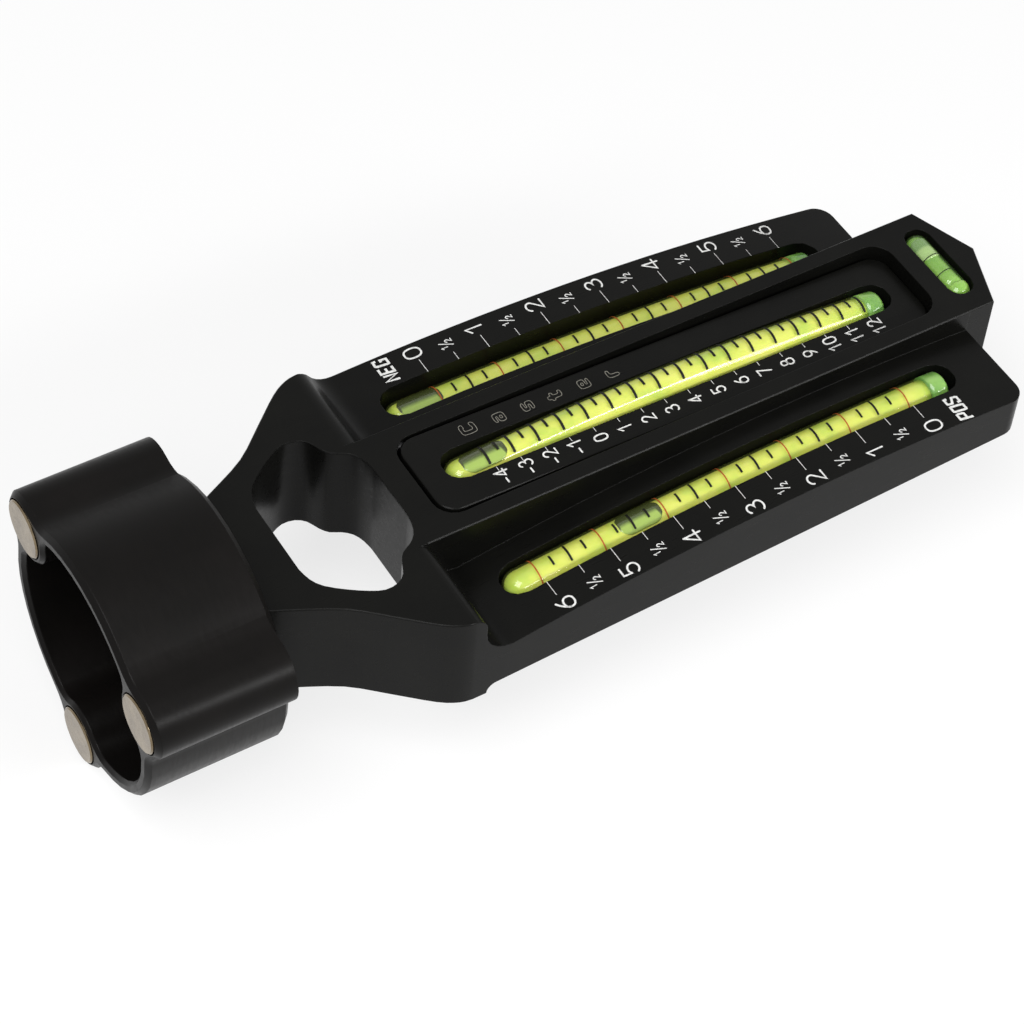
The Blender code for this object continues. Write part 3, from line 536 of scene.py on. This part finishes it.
def make_vial(name, body):
    """Glass shell, liquid core and end plug of one long vial."""
    path = PATHS[name]
    plug_start = PLUG_START - PLUG_SEAM
    shell = lofted(
        name + "_glass", tube_rings(path, VIAL_START, plug_start, VIAL_RADIUS, VIAL_RADIUS, 0)
    )
    piece = add_piece(name + "_glass", shell, "shell", body)
    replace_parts(piece, name + "_vial")
    core = VIAL_RADIUS - GLASS_WALL
    liquid = lofted(
        name + "_liquid",
        tube_rings(path, VIAL_START + GLASS_WALL, plug_start - LIQUID_GAP, core, core, 0),
    )
    add_piece(name + "_liquid", liquid, "vial_fluid", body)
    plug = lofted(
        name + "_end_plug",
        tube_rings(path, plug_start + PLUG_GAP, PLUG_TIP, VIAL_RADIUS, 0, PLUG_DOME),
    )
    piece = add_piece(name + "_end_plug", plug, "plug_look", body)
    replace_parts(piece, name + "_vial_plug")


def make_bubble(name, body):
    """A long bubble under the roof of a vial: nearly flat below, rounded at its ends."""
    low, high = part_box(name + "_bubble")
    centre, half = (low.x + high.x) / 2 / MM, (high.x - low.x) / 2 / MM
    path = PATHS[name]
    roof = VIAL_RADIUS - GLASS_WALL / 2
    rings = []
    stations, turns, below = 28, 24, 8
    for i in range(stations + 1):
        t = -math.cos(math.pi * i / stations)
        x = centre + half * t
        from_end = min(1.0, (half - half * abs(t)) / BUBBLE_HALF_WIDTH)
        swell = math.sqrt(1 - (1 - from_end) ** 2)
        if swell < SMALLEST_SWELL:
            rings.append([around(path, x, roof - BUBBLE_TIP_DROP, 0.0)])
            continue
        width = BUBBLE_HALF_WIDTH * swell
        lean = math.asin(width / roof)
        edge = roof - BUBBLE_SKIN - BUBBLE_END_DROP * (1 - swell)
        ring = [around(path, x, edge, lean * (2 * k / turns - 1)) for k in range(turns + 1)]
        place, up = path(x)
        level = edge * math.cos(lean)
        for k in range(1, below):
            across = width * (1 - 2 * k / below)
            sag = BUBBLE_SAG * swell * (1 - (across / width) ** 2)
            ring.append(place + up * (level - sag) + Vector((0.0, -across, 0.0)))
        rings.append(ring)
    piece = add_piece(name + "_air", lofted(name + "_air", rings), "bubble_air", body)
    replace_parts(piece, name + "_bubble")


make_vial("near", "gauge")
make_vial("far", "gauge")
make_vial("castor", "castor")
for key in ("near", "far", "castor"):
    make_bubble(key, key + "_bubble")


# Cross vial in the tail


def cross_point(axis, y, radius, angle):
    """A point on the cross vial or inside it: angle 0 is the top."""
    return Vector((axis.x + radius * math.sin(angle), y, axis.z + radius * math.cos(angle)))


def cross_axis():
    """A point on the axis of the cross vial and its radius, in millimetres."""
    low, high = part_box("cross_vial")
    return (low + high) / 2 / MM, (high.x - low.x) / 2 / MM


def cross_rings(axis, start, end, radius, dome_start, dome_end):
    """Rings of a straight tube along Y, with a round dome at either end."""
    turns, dome_steps, steps = 36, 8, 6

    def ring(y, r):
        if r < TINY:
            return [Vector((axis.x, y, axis.z))]
        return [
            Vector((axis.x + r * math.cos(a), y, axis.z + r * math.sin(a)))
            for a in (2 * math.pi * i / turns for i in range(turns))
        ]

    leans = [math.pi / 2 * i / dome_steps for i in range(dome_steps)]
    rings = []
    if dome_start:
        rings += [ring(start + radius * (1 - math.cos(a)), radius * math.sin(a)) for a in leans]
    first = start + (radius if dome_start else 0)
    last = end - (radius if dome_end else 0)
    rings += [ring(first + (last - first) * i / steps, radius) for i in range(steps + 1)]
    if dome_end:
        rings += [
            ring(end - radius * (1 - math.cos(a)), radius * math.sin(a)) for a in reversed(leans)
        ]
    return rings


def cross_air_rings(axis, radius):
    """Rings of the bubble in the cross vial: round above, slightly sagging below."""
    low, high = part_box("cross_bubble")
    middle = (low.y + high.y) / 2 / MM
    half = (high.y - low.y) / 2 / MM
    roof = radius - CROSS_AIR_SKIN
    rings = []
    stations, turns, below = 16, 16, 6
    for i in range(stations + 1):
        t = -math.cos(math.pi * i / stations)
        swell = math.sqrt(max(0.0, 1 - t * t))
        y = middle + half * t
        if swell < SMALLEST_SWELL:
            rings.append([Vector((axis.x, y, axis.z + roof - CROSS_AIR_TIP_DROP))])
            continue
        level = roof - (roof - CROSS_AIR_LEVEL) * swell
        lean = math.acos(level / roof) * CROSS_AIR_WIDTH_SHARE
        ring = [cross_point(axis, y, roof, lean * (2 * k / turns - 1)) for k in range(turns + 1)]
        width = roof * math.sin(lean)
        for k in range(1, below):
            across = width * (1 - 2 * k / below)
            sag = CROSS_AIR_SAG * swell * (1 - (across / width) ** 2)
            ring.append(Vector((axis.x + across, y, axis.z + level - sag)))
        rings.append(ring)
    return rings


def make_cross():
    """Glass, liquid, plug and bubble of the short vial across the tail."""
    low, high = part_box("cross_vial")
    plug_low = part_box("cross_vial_plug")[0]
    axis, radius = cross_axis()
    start, end = low.y / MM, high.y / MM
    glass = lofted("cross_glass", cross_rings(axis, start, end, radius, False, True))
    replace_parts(add_piece("cross_glass", glass, "green_shell", "gauge"), "cross_vial")
    inner = cross_rings(
        axis, start + LIQUID_GAP, end - CROSS_WALL, radius - CROSS_WALL, False, True
    )
    add_piece("cross_liquid", lofted("cross_liquid", inner), "cross_fluid", "gauge")
    plug = lofted(
        "cross_end_plug", cross_rings(axis, plug_low.y / MM, start - PLUG_GAP, radius, True, False)
    )
    plug = add_piece("cross_end_plug", plug, "cross_fluid", "gauge", slot="plug_green")
    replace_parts(plug, "cross_vial_plug")
    air = lofted("cross_air", cross_air_rings(axis, radius))
    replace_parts(add_piece("cross_air", air, "cross_air", "cross_bubble"), "cross_bubble")


make_cross()


# Print: strokes laid on the metal and lines round the tubes


def wing_surface(side):
    """The top of a wing: where a point (x, y) lies and which way is out."""

    def place(x, y, lift):
        off = x - CROWN_X[side]
        z = TOP_Z - WING_DROP - (WING_BEND - math.sqrt(WING_BEND * WING_BEND - off * off))
        return Vector((x, y, z + lift))

    return place


def carrier_surface():
    """The top of the castor carrier, in the same form."""
    turn = Matrix.Rotation(math.radians(TILT_DEG), 3, "Y")

    def place(x, y, lift):
        return HINGE + turn @ Vector((x - HINGE.x, y, CARRIER_TOP + lift))

    return place


def offset_sides(points, half, closed):
    """Left and right edges of a stroke of the given half width."""
    longest, flattest = 1.6, 0.3
    left, right = [], []
    count = len(points)
    for i, point in enumerate(points):
        before = points[(i - 1) % count] if closed or i else None
        after = points[(i + 1) % count] if closed or i < count - 1 else None
        dirs = []
        if before is not None:
            dirs.append((point - before).normalized())
        if after is not None:
            dirs.append((after - point).normalized())
        mean = sum(dirs, Vector((0.0, 0.0))).normalized()
        normal = Vector((-mean.y, mean.x))
        stretch = 1.0
        if len(dirs) == 2:
            lean = normal.dot(Vector((-dirs[0].y, dirs[0].x)))
            stretch = min(longest, 1 / max(flattest, lean))
        left.append(point + normal * half * stretch)
        right.append(point - normal * half * stretch)
    return left, right


def stroke_solid(points, width, surface, closed, rounded):
    """Points and faces of one thin printed stroke that follows a surface."""
    half = width / 2
    left, right = offset_sides(points, half, closed)
    verts, faces = [], []

    def add(point):
        verts.append(surface(point.x, point.y, PRINT_LIFT))
        verts.append(surface(point.x, point.y, PRINT_LIFT - PRINT_DEPTH))
        return len(verts) - 2

    ids = [(add(a), add(b)) for a, b in zip(left, right)]
    pairs = list(zip(ids, ids[1:])) + ([(ids[-1], ids[0])] if closed else [])
    for (a, b), (c, d) in pairs:
        faces += [
            (a, b, d, c), (a + 1, c + 1, d + 1, b + 1), (a, c, c + 1, a + 1), (b, b + 1, d + 1, d),
        ]
    if closed:
        return verts, faces
    for edge, beside in ((0, 1), (-1, -2)):
        a, b = ids[edge]
        if not rounded:
            faces.append((a, a + 1, b + 1, b))
            continue
        end = points[edge]
        away = (end - points[beside]).normalized()
        normal = (left[edge] - end).normalized()
        fan = [
            add(end + normal * half * math.cos(lean) + away * half * math.sin(lean))
            for lean in (math.pi * k / 4 for k in (1, 2, 3))
        ]
        chain = [a] + fan + [b]
        faces.append(tuple(chain))
        faces.append(tuple(i + 1 for i in reversed(chain)))
        for p, q in zip(chain, chain[1:]):
            faces.append((p, p + 1, q + 1, q))
    return verts, faces


def merged(name, parts, look, body):
    """One piece from many parts, each given as points and faces."""
    verts, faces = [], []
    for new_verts, new_faces in parts:
        base = len(verts)
        verts += new_verts
        faces += [tuple(base + i for i in face) for face in new_faces]
    add_piece(name, mesh_from(name, verts, faces), look, body, smooth=False)


def merge_strokes(name, strokes, look, body):
    """One piece from many strokes: (points, width, surface, closed, rounded) each."""
    merged(name, [stroke_solid(*stroke) for stroke in strokes], look, body)


def arc(cx, cy, rx, ry, start, end):
    """Points along part of an ellipse; angles in degrees."""
    steps = 14
    return [
        (cx + rx * math.cos(math.radians(a)), cy + ry * math.sin(math.radians(a)))
        for a in (start + (end - start) * i / steps for i in range(steps + 1))
    ]


def loop(cx, cy, rx, ry, power=2.3):
    """A rounded closed loop, slightly squarer than an ellipse."""
    steps = 26
    out = []
    for i in range(steps):
        a = 2 * math.pi * i / steps
        c, s = math.cos(a), math.sin(a)
        out.append((
            cx + rx * math.copysign(abs(c) ** (2 / power), c),
            cy + ry * math.copysign(abs(s) ** (2 / power), s),
        ))
    return out


GLYPH_WIDTH = 0.6


def turned_over(strokes):
    """Strokes turned half round in the glyph's box."""
    return [([(GLYPH_WIDTH - x, 1 - y) for x, y in points], closed) for points, closed in strokes]


# Glyphs in a box 0.6 wide and 1 high, with letters 0.5 wide: (points, closed) for each stroke
SIX = [
    (loop(0.3, 0.3, 0.26, 0.3), True),
    ([(0.47, 0.985), (0.33, 0.86), (0.19, 0.68), (0.09, 0.5), (0.045, 0.36)], False),
]
GLYPHS = {
    "0": [(loop(0.3, 0.5, 0.27, 0.5, 2.5), True)],
    "1": [([(0.1, 0.74), (0.36, 1.0), (0.36, 0.0)], False)],
    "2": [(arc(0.29, 0.73, 0.24, 0.27, 168, -38) + [(0.05, 0.0), (0.56, 0.0)], False)],
    "3": [
        (arc(0.27, 0.755, 0.22, 0.245, 150, -88) + arc(0.27, 0.27, 0.28, 0.27, 82, -150)[1:], False)
    ],
    "4": [([(0.42, 1.0), (0.02, 0.27), (0.6, 0.27)], False), ([(0.42, 1.0), (0.42, 0.0)], False)],
    "5": [
        ([(0.52, 1.0), (0.13, 1.0), (0.09, 0.53)] + arc(0.28, 0.31, 0.27, 0.31, 125, -150)[1:], False)
    ],
    "6": SIX,
    "7": [([(0.04, 1.0), (0.56, 1.0), (0.2, 0.0)], False)],
    "8": [(loop(0.3, 0.76, 0.21, 0.24), True), (loop(0.3, 0.27, 0.27, 0.27), True)],
    "9": turned_over(SIX),
    "-": [([(0.1, 0.42), (0.5, 0.42)], False)],
    "N": [([(0.0, 0.0), (0.0, 1.0), (0.5, 0.0), (0.5, 1.0)], False)],
    "E": [
        ([(0.5, 1.0), (0.0, 1.0), (0.0, 0.0), (0.5, 0.0)], False),
        ([(0.0, 0.5), (0.42, 0.5)], False),
    ],
    "G": [([
        (0.5, 0.78), (0.46, 1.0), (0.04, 1.0), (0.0, 0.9), (0.0, 0.1), (0.04, 0.0), (0.5, 0.0),
        (0.5, 0.45), (0.3, 0.45),
    ], False)],
    "P": [([
        (0.0, 0.0), (0.0, 1.0), (0.46, 1.0), (0.5, 0.9), (0.5, 0.55), (0.46, 0.46), (0.0, 0.46),
    ], False)],
    "O": [([
        (0.04, 0.0), (0.0, 0.1), (0.0, 0.9), (0.04, 1.0), (0.46, 1.0), (0.5, 0.9), (0.5, 0.1),
        (0.46, 0.0),
    ], True)],
    "S": [([
        (0.5, 0.78), (0.46, 1.0), (0.04, 1.0), (0.0, 0.9), (0.0, 0.62), (0.5, 0.4), (0.5, 0.1),
        (0.46, 0.0), (0.04, 0.0), (0.0, 0.22),
    ], False)],
}


def glyph_strokes(
    text, x, y, height, width, surface, advance=0.0, slant=0.0, rounded=True, wide=1.0
):
    """Strokes of a short text centred at (x, y): its top points to -X and it reads along +Y.

    The advance from letter to letter is needed only where there is more than one.
    """
    middle = GLYPH_WIDTH / 2
    gap = advance * height
    first = y - gap * (len(text) - 1) / 2
    out = []
    for index, letter in enumerate(text):
        centre_y = first + gap * index
        for points, closed in GLYPHS[letter]:
            flat = []
            for u, v in points:
                across = ((u - middle) * wide + slant * (v - 0.5)) * height
                flat.append(Vector((x - (v - 0.5) * height, centre_y + across)))
            out.append((flat, width, surface, closed, rounded))
    return out


def half_mark(x, y, height, width, surface):
    """The sign for one half, built of a small 1, a bar and a small 2."""
    out = []
    small, lean = 0.5, 0.24
    middle = GLYPH_WIDTH / 2
    for letter, across, up in (("1", -0.3, 0.28), ("2", 0.27, -0.3)):
        for points, closed in GLYPHS[letter]:
            flat = [
                Vector((
                    x - (up + (v - 0.5) * small) * height,
                    y + (across + (u - middle) * small) * height,
                ))
                for u, v in points
            ]
            out.append((flat, width, surface, closed, True))
    top = Vector((x - height / 2, y + lean * height))
    foot = Vector((x + height / 2, y - lean * height))
    out.append(([foot, top], width, surface, False, True))
    return out


def print_camber(side):
    """Ticks, digits, half signs and the word beside one camber vial."""
    sign = SIDE[side]
    surface = wing_surface(side)
    row, shift = DIGIT_ROW[side], DIGIT_SHIFT[side]
    strokes = []
    for half in range(2 * CAMBER_DEGREES + 1):
        x = ZERO_X[side] + sign * DEGREE_STEP * half / 2
        whole = half % 2 == 0
        tick_end = WHOLE_TICK_END if whole else HALF_TICK_END
        tick = [Vector((x, sign * TICK_START)), Vector((x, sign * tick_end))]
        strokes.append((tick, TICK_WIDTH, surface, False, False))
        x += shift
        if whole:
            strokes += glyph_strokes(
                str(half // 2), x, sign * row, DIGIT_HEIGHT, DIGIT_STROKE, surface, wide=DIGIT_STRETCH
            )
        else:
            strokes += half_mark(
                x, sign * (row - HALF_SIGN_INSET), HALF_SIGN_HEIGHT, HALF_SIGN_STROKE, surface
            )
    merge_strokes(side + "_scale", strokes, "print_white", "gauge")
    label, x, middle = SIGN_WORD[side]
    bold = glyph_strokes(
        label, x, middle, SIGN_WORD_HEIGHT, SIGN_WORD_STROKE, surface, SIGN_WORD_ADVANCE,
        SIGN_WORD_SLANT, False
    )
    merge_strokes(side + "_word", bold, "print_white", "gauge")


def print_castor():
    """Ticks and digits beside the castor vial."""
    surface = carrier_surface()
    strokes = []
    for mark in range(CASTOR_FIRST, CASTOR_LAST + 1):
        x = CASTOR_ZERO_X + CASTOR_STEP * mark
        strokes.append(([Vector((x, y)) for y in CASTOR_TICK], TICK_WIDTH, surface, False, False))
        strokes += glyph_strokes(
            str(mark), x, CASTOR_DIGIT_ROW, CASTOR_DIGIT_HEIGHT, CASTOR_DIGIT_STROKE, surface,
            CASTOR_DIGIT_ADVANCE
        )
    merge_strokes("castor_scale", strokes, "print_white", "castor")


# Outline letters as closed loops: the capital is 0.8 wide and 1 high, small letters are up to
# 0.7 wide and 0.75 high, and the t is 0.95 high
OUTLINES = {
    "C": [[(0.8, 0.72), (0.8, 0.88), (0.68, 1.0), (0.14, 1.0), (0.0, 0.86), (0.0, 0.14), (0.14, 0.0),
           (0.68, 0.0), (0.8, 0.12), (0.8, 0.28), (0.54, 0.28), (0.5, 0.22), (0.32, 0.22), (0.26, 0.28),
           (0.26, 0.72), (0.32, 0.78), (0.5, 0.78), (0.54, 0.72)]],
    "a": [[(0.7, 0.0), (0.7, 0.62), (0.58, 0.75), (0.12, 0.75), (0.04, 0.68), (0.04, 0.57), (0.42, 0.57),
           (0.45, 0.53), (0.45, 0.46), (0.12, 0.46), (0.0, 0.36), (0.0, 0.1), (0.12, 0.0)],
          [(0.24, 0.16), (0.45, 0.16), (0.45, 0.31), (0.24, 0.31)]],
    "s": [[(0.66, 0.57), (0.66, 0.66), (0.56, 0.75), (0.12, 0.75), (0.0, 0.65), (0.0, 0.41), (0.12, 0.32),
           (0.44, 0.32), (0.44, 0.18), (0.04, 0.18), (0.04, 0.08), (0.14, 0.0), (0.58, 0.0), (0.7, 0.1),
           (0.7, 0.36), (0.58, 0.45), (0.26, 0.45), (0.26, 0.57)]],
    "t": [[(0.14, 0.1), (0.14, 0.56), (0.0, 0.56), (0.0, 0.74), (0.14, 0.74), (0.14, 0.95), (0.4, 0.95),
           (0.4, 0.74), (0.62, 0.74), (0.62, 0.56), (0.4, 0.56), (0.4, 0.18), (0.62, 0.18), (0.62, 0.0),
           (0.26, 0.0)]],
    "e": [[(0.7, 0.29), (0.25, 0.29), (0.25, 0.17), (0.66, 0.17), (0.66, 0.0), (0.12, 0.0), (0.0, 0.12),
           (0.0, 0.63), (0.12, 0.75), (0.58, 0.75), (0.7, 0.63)],
          [(0.25, 0.43), (0.46, 0.43), (0.46, 0.58), (0.25, 0.58)]],
    "r": [[(0.0, 0.0), (0.25, 0.0), (0.25, 0.46), (0.34, 0.56), (0.6, 0.56), (0.6, 0.75), (0.0, 0.75)]],
}


def corners_cut(points):
    """A closed outline with its corners cut twice."""
    share = 0.22
    for _ in range(2):
        cut = []
        for (ax, ay), (bx, by) in zip(points, points[1:] + points[:1]):
            cut.append((ax + (bx - ax) * share, ay + (by - ay) * share))
            cut.append((bx + (ax - bx) * share, by + (ay - by) * share))
        points = cut
    return points


def print_castor_word():
    """The scale's name in outline letters beside the castor vial."""
    surface = carrier_surface()
    middle, centre = 0.5, 0.4
    strokes = []
    for index, letter in enumerate("Caster"):
        x = OUTLINE_WORD_START + OUTLINE_WORD_STEP * index
        for points in OUTLINES[letter]:
            flat = [
                Vector((
                    x - (v - middle) * OUTLINE_WORD_SIZE,
                    OUTLINE_WORD_ROW + (u - centre) * OUTLINE_WORD_SIZE,
                ))
                for u, v in corners_cut(points)
            ]
            strokes.append((flat, OUTLINE_WORD_STROKE, surface, True, False))
    merge_strokes("castor_word", strokes, "print_grey", "castor")


print_camber("near")
print_camber("far")
print_castor()
print_castor_word()


# Lines printed round the vials


def ring_line(point, radius, width, reach):
    """Points and faces of a thin band round part of a tube.

    The function point gives a place on the tube for a radius, an angle and a shift along it.
    """
    verts, faces = [], []
    steps = 14
    start, end = reach
    for i in range(steps + 1):
        angle = math.radians(start + (end - start) * i / steps)
        for along in (-width / 2, width / 2):
            for r in (radius + PRINT_LIFT, radius + PRINT_LIFT - PRINT_DEPTH):
                verts.append(point(r, angle, along))
    for i in range(steps):
        a, b = 4 * i, 4 * i + 4
        faces += [
            (a, a + 2, b + 2, b), (a + 1, b + 1, b + 3, a + 3),
            (a, b, b + 1, a + 1), (a + 2, a + 3, b + 3, b + 2),
        ]
    last = 4 * steps
    faces += [(0, 1, 3, 2), (last, last + 2, last + 3, last + 1)]
    return verts, faces


def vial_line(name, x, width, reach):
    """A line round a long vial."""

    def point(r, angle, along):
        return around(PATHS[name], x, r, angle, along)

    return ring_line(point, VIAL_RADIUS, width, reach)


def cross_line(y):
    """A line round the cross vial."""
    axis, radius = cross_axis()

    def point(r, angle, along):
        return cross_point(axis, y + along, r, angle)

    return ring_line(point, radius, CROSS_LINE_WIDTH, CROSS_LINE_REACH)


def print_vials():
    """The lines round the four tubes."""
    for side in ("near", "far"):
        red, black = [], []
        for quarter in range(4 * CAMBER_DEGREES + 1):
            x = ZERO_X[side] + SIDE[side] * DEGREE_STEP * quarter / 4
            if quarter % 4 == 0:
                red.append(vial_line(side, x, RED_LINE_WIDTH, RED_LINE_REACH))
            else:
                reach = HALF_LINE_REACH if quarter % 2 == 0 else QUARTER_LINE_REACH
                black.append(vial_line(side, x, BLACK_LINE_WIDTH, reach))
        merged(side + "_red_lines", red, "print_red", "gauge")
        merged(side + "_black_lines", black, "print_black", "gauge")
    black = []
    for half in range(2 * CASTOR_FIRST, 2 * CASTOR_LAST + 1):
        x = CASTOR_ZERO_X + CASTOR_STEP * half / 2
        reach = CASTOR_LINE_REACH if half % 2 == 0 else CASTOR_HALF_LINE_REACH
        black.append(vial_line("castor", x, CASTOR_LINE_WIDTH, reach))
    merged("castor_lines", black, "print_black", "castor")
    merged("cross_lines", [cross_line(y) for y in CROSS_LINE_PLACES], "print_black", "gauge")


print_vials()


# Finish of the CAD nodes that stay

LOOK_OF_NODE = {
    "gauge_body": "black_anodised", "castor_carrier": "black_anodised",
    "magnet_adapter": "black_adapter", "magnet_1": "nickel", "magnet_2": "nickel",
    "magnet_3": "nickel", "hinge_pin": "steel", "swivel_screw": "dark_steel",
    "adjuster_screw": "dark_steel", "adjuster_knob": "black_adapter", "carrier_spring": "steel",
    "lift_nut": "brass", "swivel_washer": "nylon",
}


def shading_group():
    """Nodes that shade a faceted mesh smooth, apart from its sharp edges."""
    group = bpy.data.node_groups.new("round_shading", "GeometryNodeTree")
    group.interface.new_socket("Geometry", in_out="INPUT", socket_type="NodeSocketGeometry")
    group.interface.new_socket("Geometry", in_out="OUTPUT", socket_type="NodeSocketGeometry")
    start = group.nodes.new("NodeGroupInput")
    end = group.nodes.new("NodeGroupOutput")
    merge = group.nodes.new("GeometryNodeMergeByDistance")
    merge.inputs["Distance"].default_value = WELD_DISTANCE
    strip = group.nodes.new("GeometryNodeRemoveAttribute")
    strip.inputs["Name"].default_value = "custom_normal"
    smooth = group.nodes.new("GeometryNodeSetShadeSmooth")
    sharp = group.nodes.new("GeometryNodeSetShadeSmooth")
    sharp.domain = "EDGE"
    sharp.inputs["Shade Smooth"].default_value = False
    angle = group.nodes.new("GeometryNodeInputMeshEdgeAngle")
    over = group.nodes.new("FunctionNodeCompare")
    over.operation = "GREATER_THAN"
    over.inputs[1].default_value = math.radians(SHARP_DEG)
    group.links.new(start.outputs[0], merge.inputs["Geometry"])
    group.links.new(merge.outputs[0], strip.inputs["Geometry"])
    group.links.new(strip.outputs[0], smooth.inputs["Geometry"])
    group.links.new(smooth.outputs[0], sharp.inputs["Geometry"])
    group.links.new(angle.outputs["Unsigned Angle"], over.inputs[0])
    group.links.new(over.outputs[0], sharp.inputs["Selection"])
    group.links.new(sharp.outputs[0], end.inputs[0])
    return group


def finish_nodes():
    """Gives each CAD node that stays its look, and shades its round faces smooth."""
    group = shading_group()
    for node, look in LOOK_OF_NODE.items():
        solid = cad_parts[node]
        solid.data.materials.clear()
        solid.data.materials.append(LOOKS[look])
        shading = solid.modifiers.new("round_shading", "NODES")
        shading.node_group = group
        weighted = solid.modifiers.new("flat_faces_flat", "WEIGHTED_NORMAL")
        weighted.keep_sharp = True
        weighted.weight = LARGE_FACE_WEIGHT


finish_nodes()


# Floor, light and camera


def shown_background(tree, rays):
    """1 for rays that show the background: straight, mirrored or through clear material."""
    total = rays.outputs["Is Camera Ray"]
    for kind in ("Is Glossy Ray", "Is Transmission Ray"):
        either = tree.nodes.new("ShaderNodeMath")
        either.operation = "MAXIMUM"
        tree.links.new(total, either.inputs[0])
        tree.links.new(rays.outputs[kind], either.inputs[1])
        total = either.outputs[0]
    return total


def make_floor():
    """Pale paper that shows white by itself and keeps part of the object's shadow."""
    level = cad_low.z - FLOOR_GAP
    mesh = bpy.data.meshes.new("floor")
    corners = [(-1, -1), (1, -1), (1, 1), (-1, 1)]
    points = [(x * FLOOR_REACH, y * FLOOR_REACH, level) for x, y in corners]
    mesh.from_pydata(points, [], [(0, 1, 2, 3)])
    floor = bpy.data.objects.new("floor", mesh)
    bpy.context.scene.collection.objects.link(floor)
    n = Nodes("floor_paper")
    paper = n.add("ShaderNodeBsdfDiffuse")
    paper.inputs["Color"].default_value = grey(0.92)
    glow = n.add("ShaderNodeEmission")
    rays = n.add("ShaderNodeLightPath")
    share = n.add("ShaderNodeMath", operation="MULTIPLY")
    share.inputs[1].default_value = FLOOR_GLOW_SHARE
    n.link(shown_background(n.tree, rays), share.inputs[0])
    mix = n.add("ShaderNodeMixShader")
    n.link(share.outputs[0], mix.inputs[0])
    n.link(paper.outputs[0], mix.inputs[1])
    n.link(glow.outputs[0], mix.inputs[2])
    n.link(mix.outputs[0], n.output.inputs["Surface"])
    mesh.materials.append(n.material)


def make_world():
    """Soft even light, with plain white behind the object."""
    world = bpy.data.worlds.new("studio")
    bpy.context.scene.world = world
    world.use_nodes = True
    tree = world.node_tree
    tree.nodes.clear()
    out = tree.nodes.new("ShaderNodeOutputWorld")
    rays = tree.nodes.new("ShaderNodeLightPath")
    dim = tree.nodes.new("ShaderNodeBackground")
    dim.inputs["Strength"].default_value = WORLD_LEVEL
    white = tree.nodes.new("ShaderNodeBackground")
    mix = tree.nodes.new("ShaderNodeMixShader")
    tree.links.new(shown_background(tree, rays), mix.inputs[0])
    tree.links.new(dim.outputs[0], mix.inputs[1])
    tree.links.new(white.outputs[0], mix.inputs[2])
    tree.links.new(mix.outputs[0], out.inputs["Surface"])


def area_light(name, place, width, height, power):
    """A rectangular lamp that faces the gauge."""
    data = bpy.data.lights.new(name, "AREA")
    data.shape = "RECTANGLE"
    data.size, data.size_y = width, height
    data.energy = power
    lamp = bpy.data.objects.new(name, data)
    bpy.context.scene.collection.objects.link(lamp)
    turn = (Vector(LAMP_TARGET) - Vector(place)).to_track_quat("-Z", "Y")
    lamp.matrix_world = Matrix.Translation(place) @ turn.to_matrix().to_4x4()


def make_camera():
    """The photograph's view, as fitted to the marks and edges seen in it."""
    focal_px, frame_px, sensor = 3143.6, 1024, 36.0
    place = Vector((-146.71, -354.10, 503.31)) * MM
    right = Vector((0.85391, -0.51733, 0.05666))
    down = Vector((-0.36606, -0.67443, -0.64121))
    forward = Vector((0.36993, 0.52679, -0.76527))
    data = bpy.data.cameras.new("camera")
    data.sensor_width = sensor
    data.lens = focal_px * sensor / frame_px
    data.clip_start, data.clip_end = 0.01, 20.0
    camera = bpy.data.objects.new("camera", data)
    bpy.context.scene.collection.objects.link(camera)
    turn = Matrix((right, -down, -forward)).transposed().to_4x4()
    camera.matrix_world = Matrix.Translation(place) @ turn
    bpy.context.scene.camera = camera


make_floor()
make_world()
for lamp_name, settings in LAMPS.items():
    area_light(lamp_name, *settings)
make_camera()
bpy.context.scene.view_settings.view_transform = "Standard"
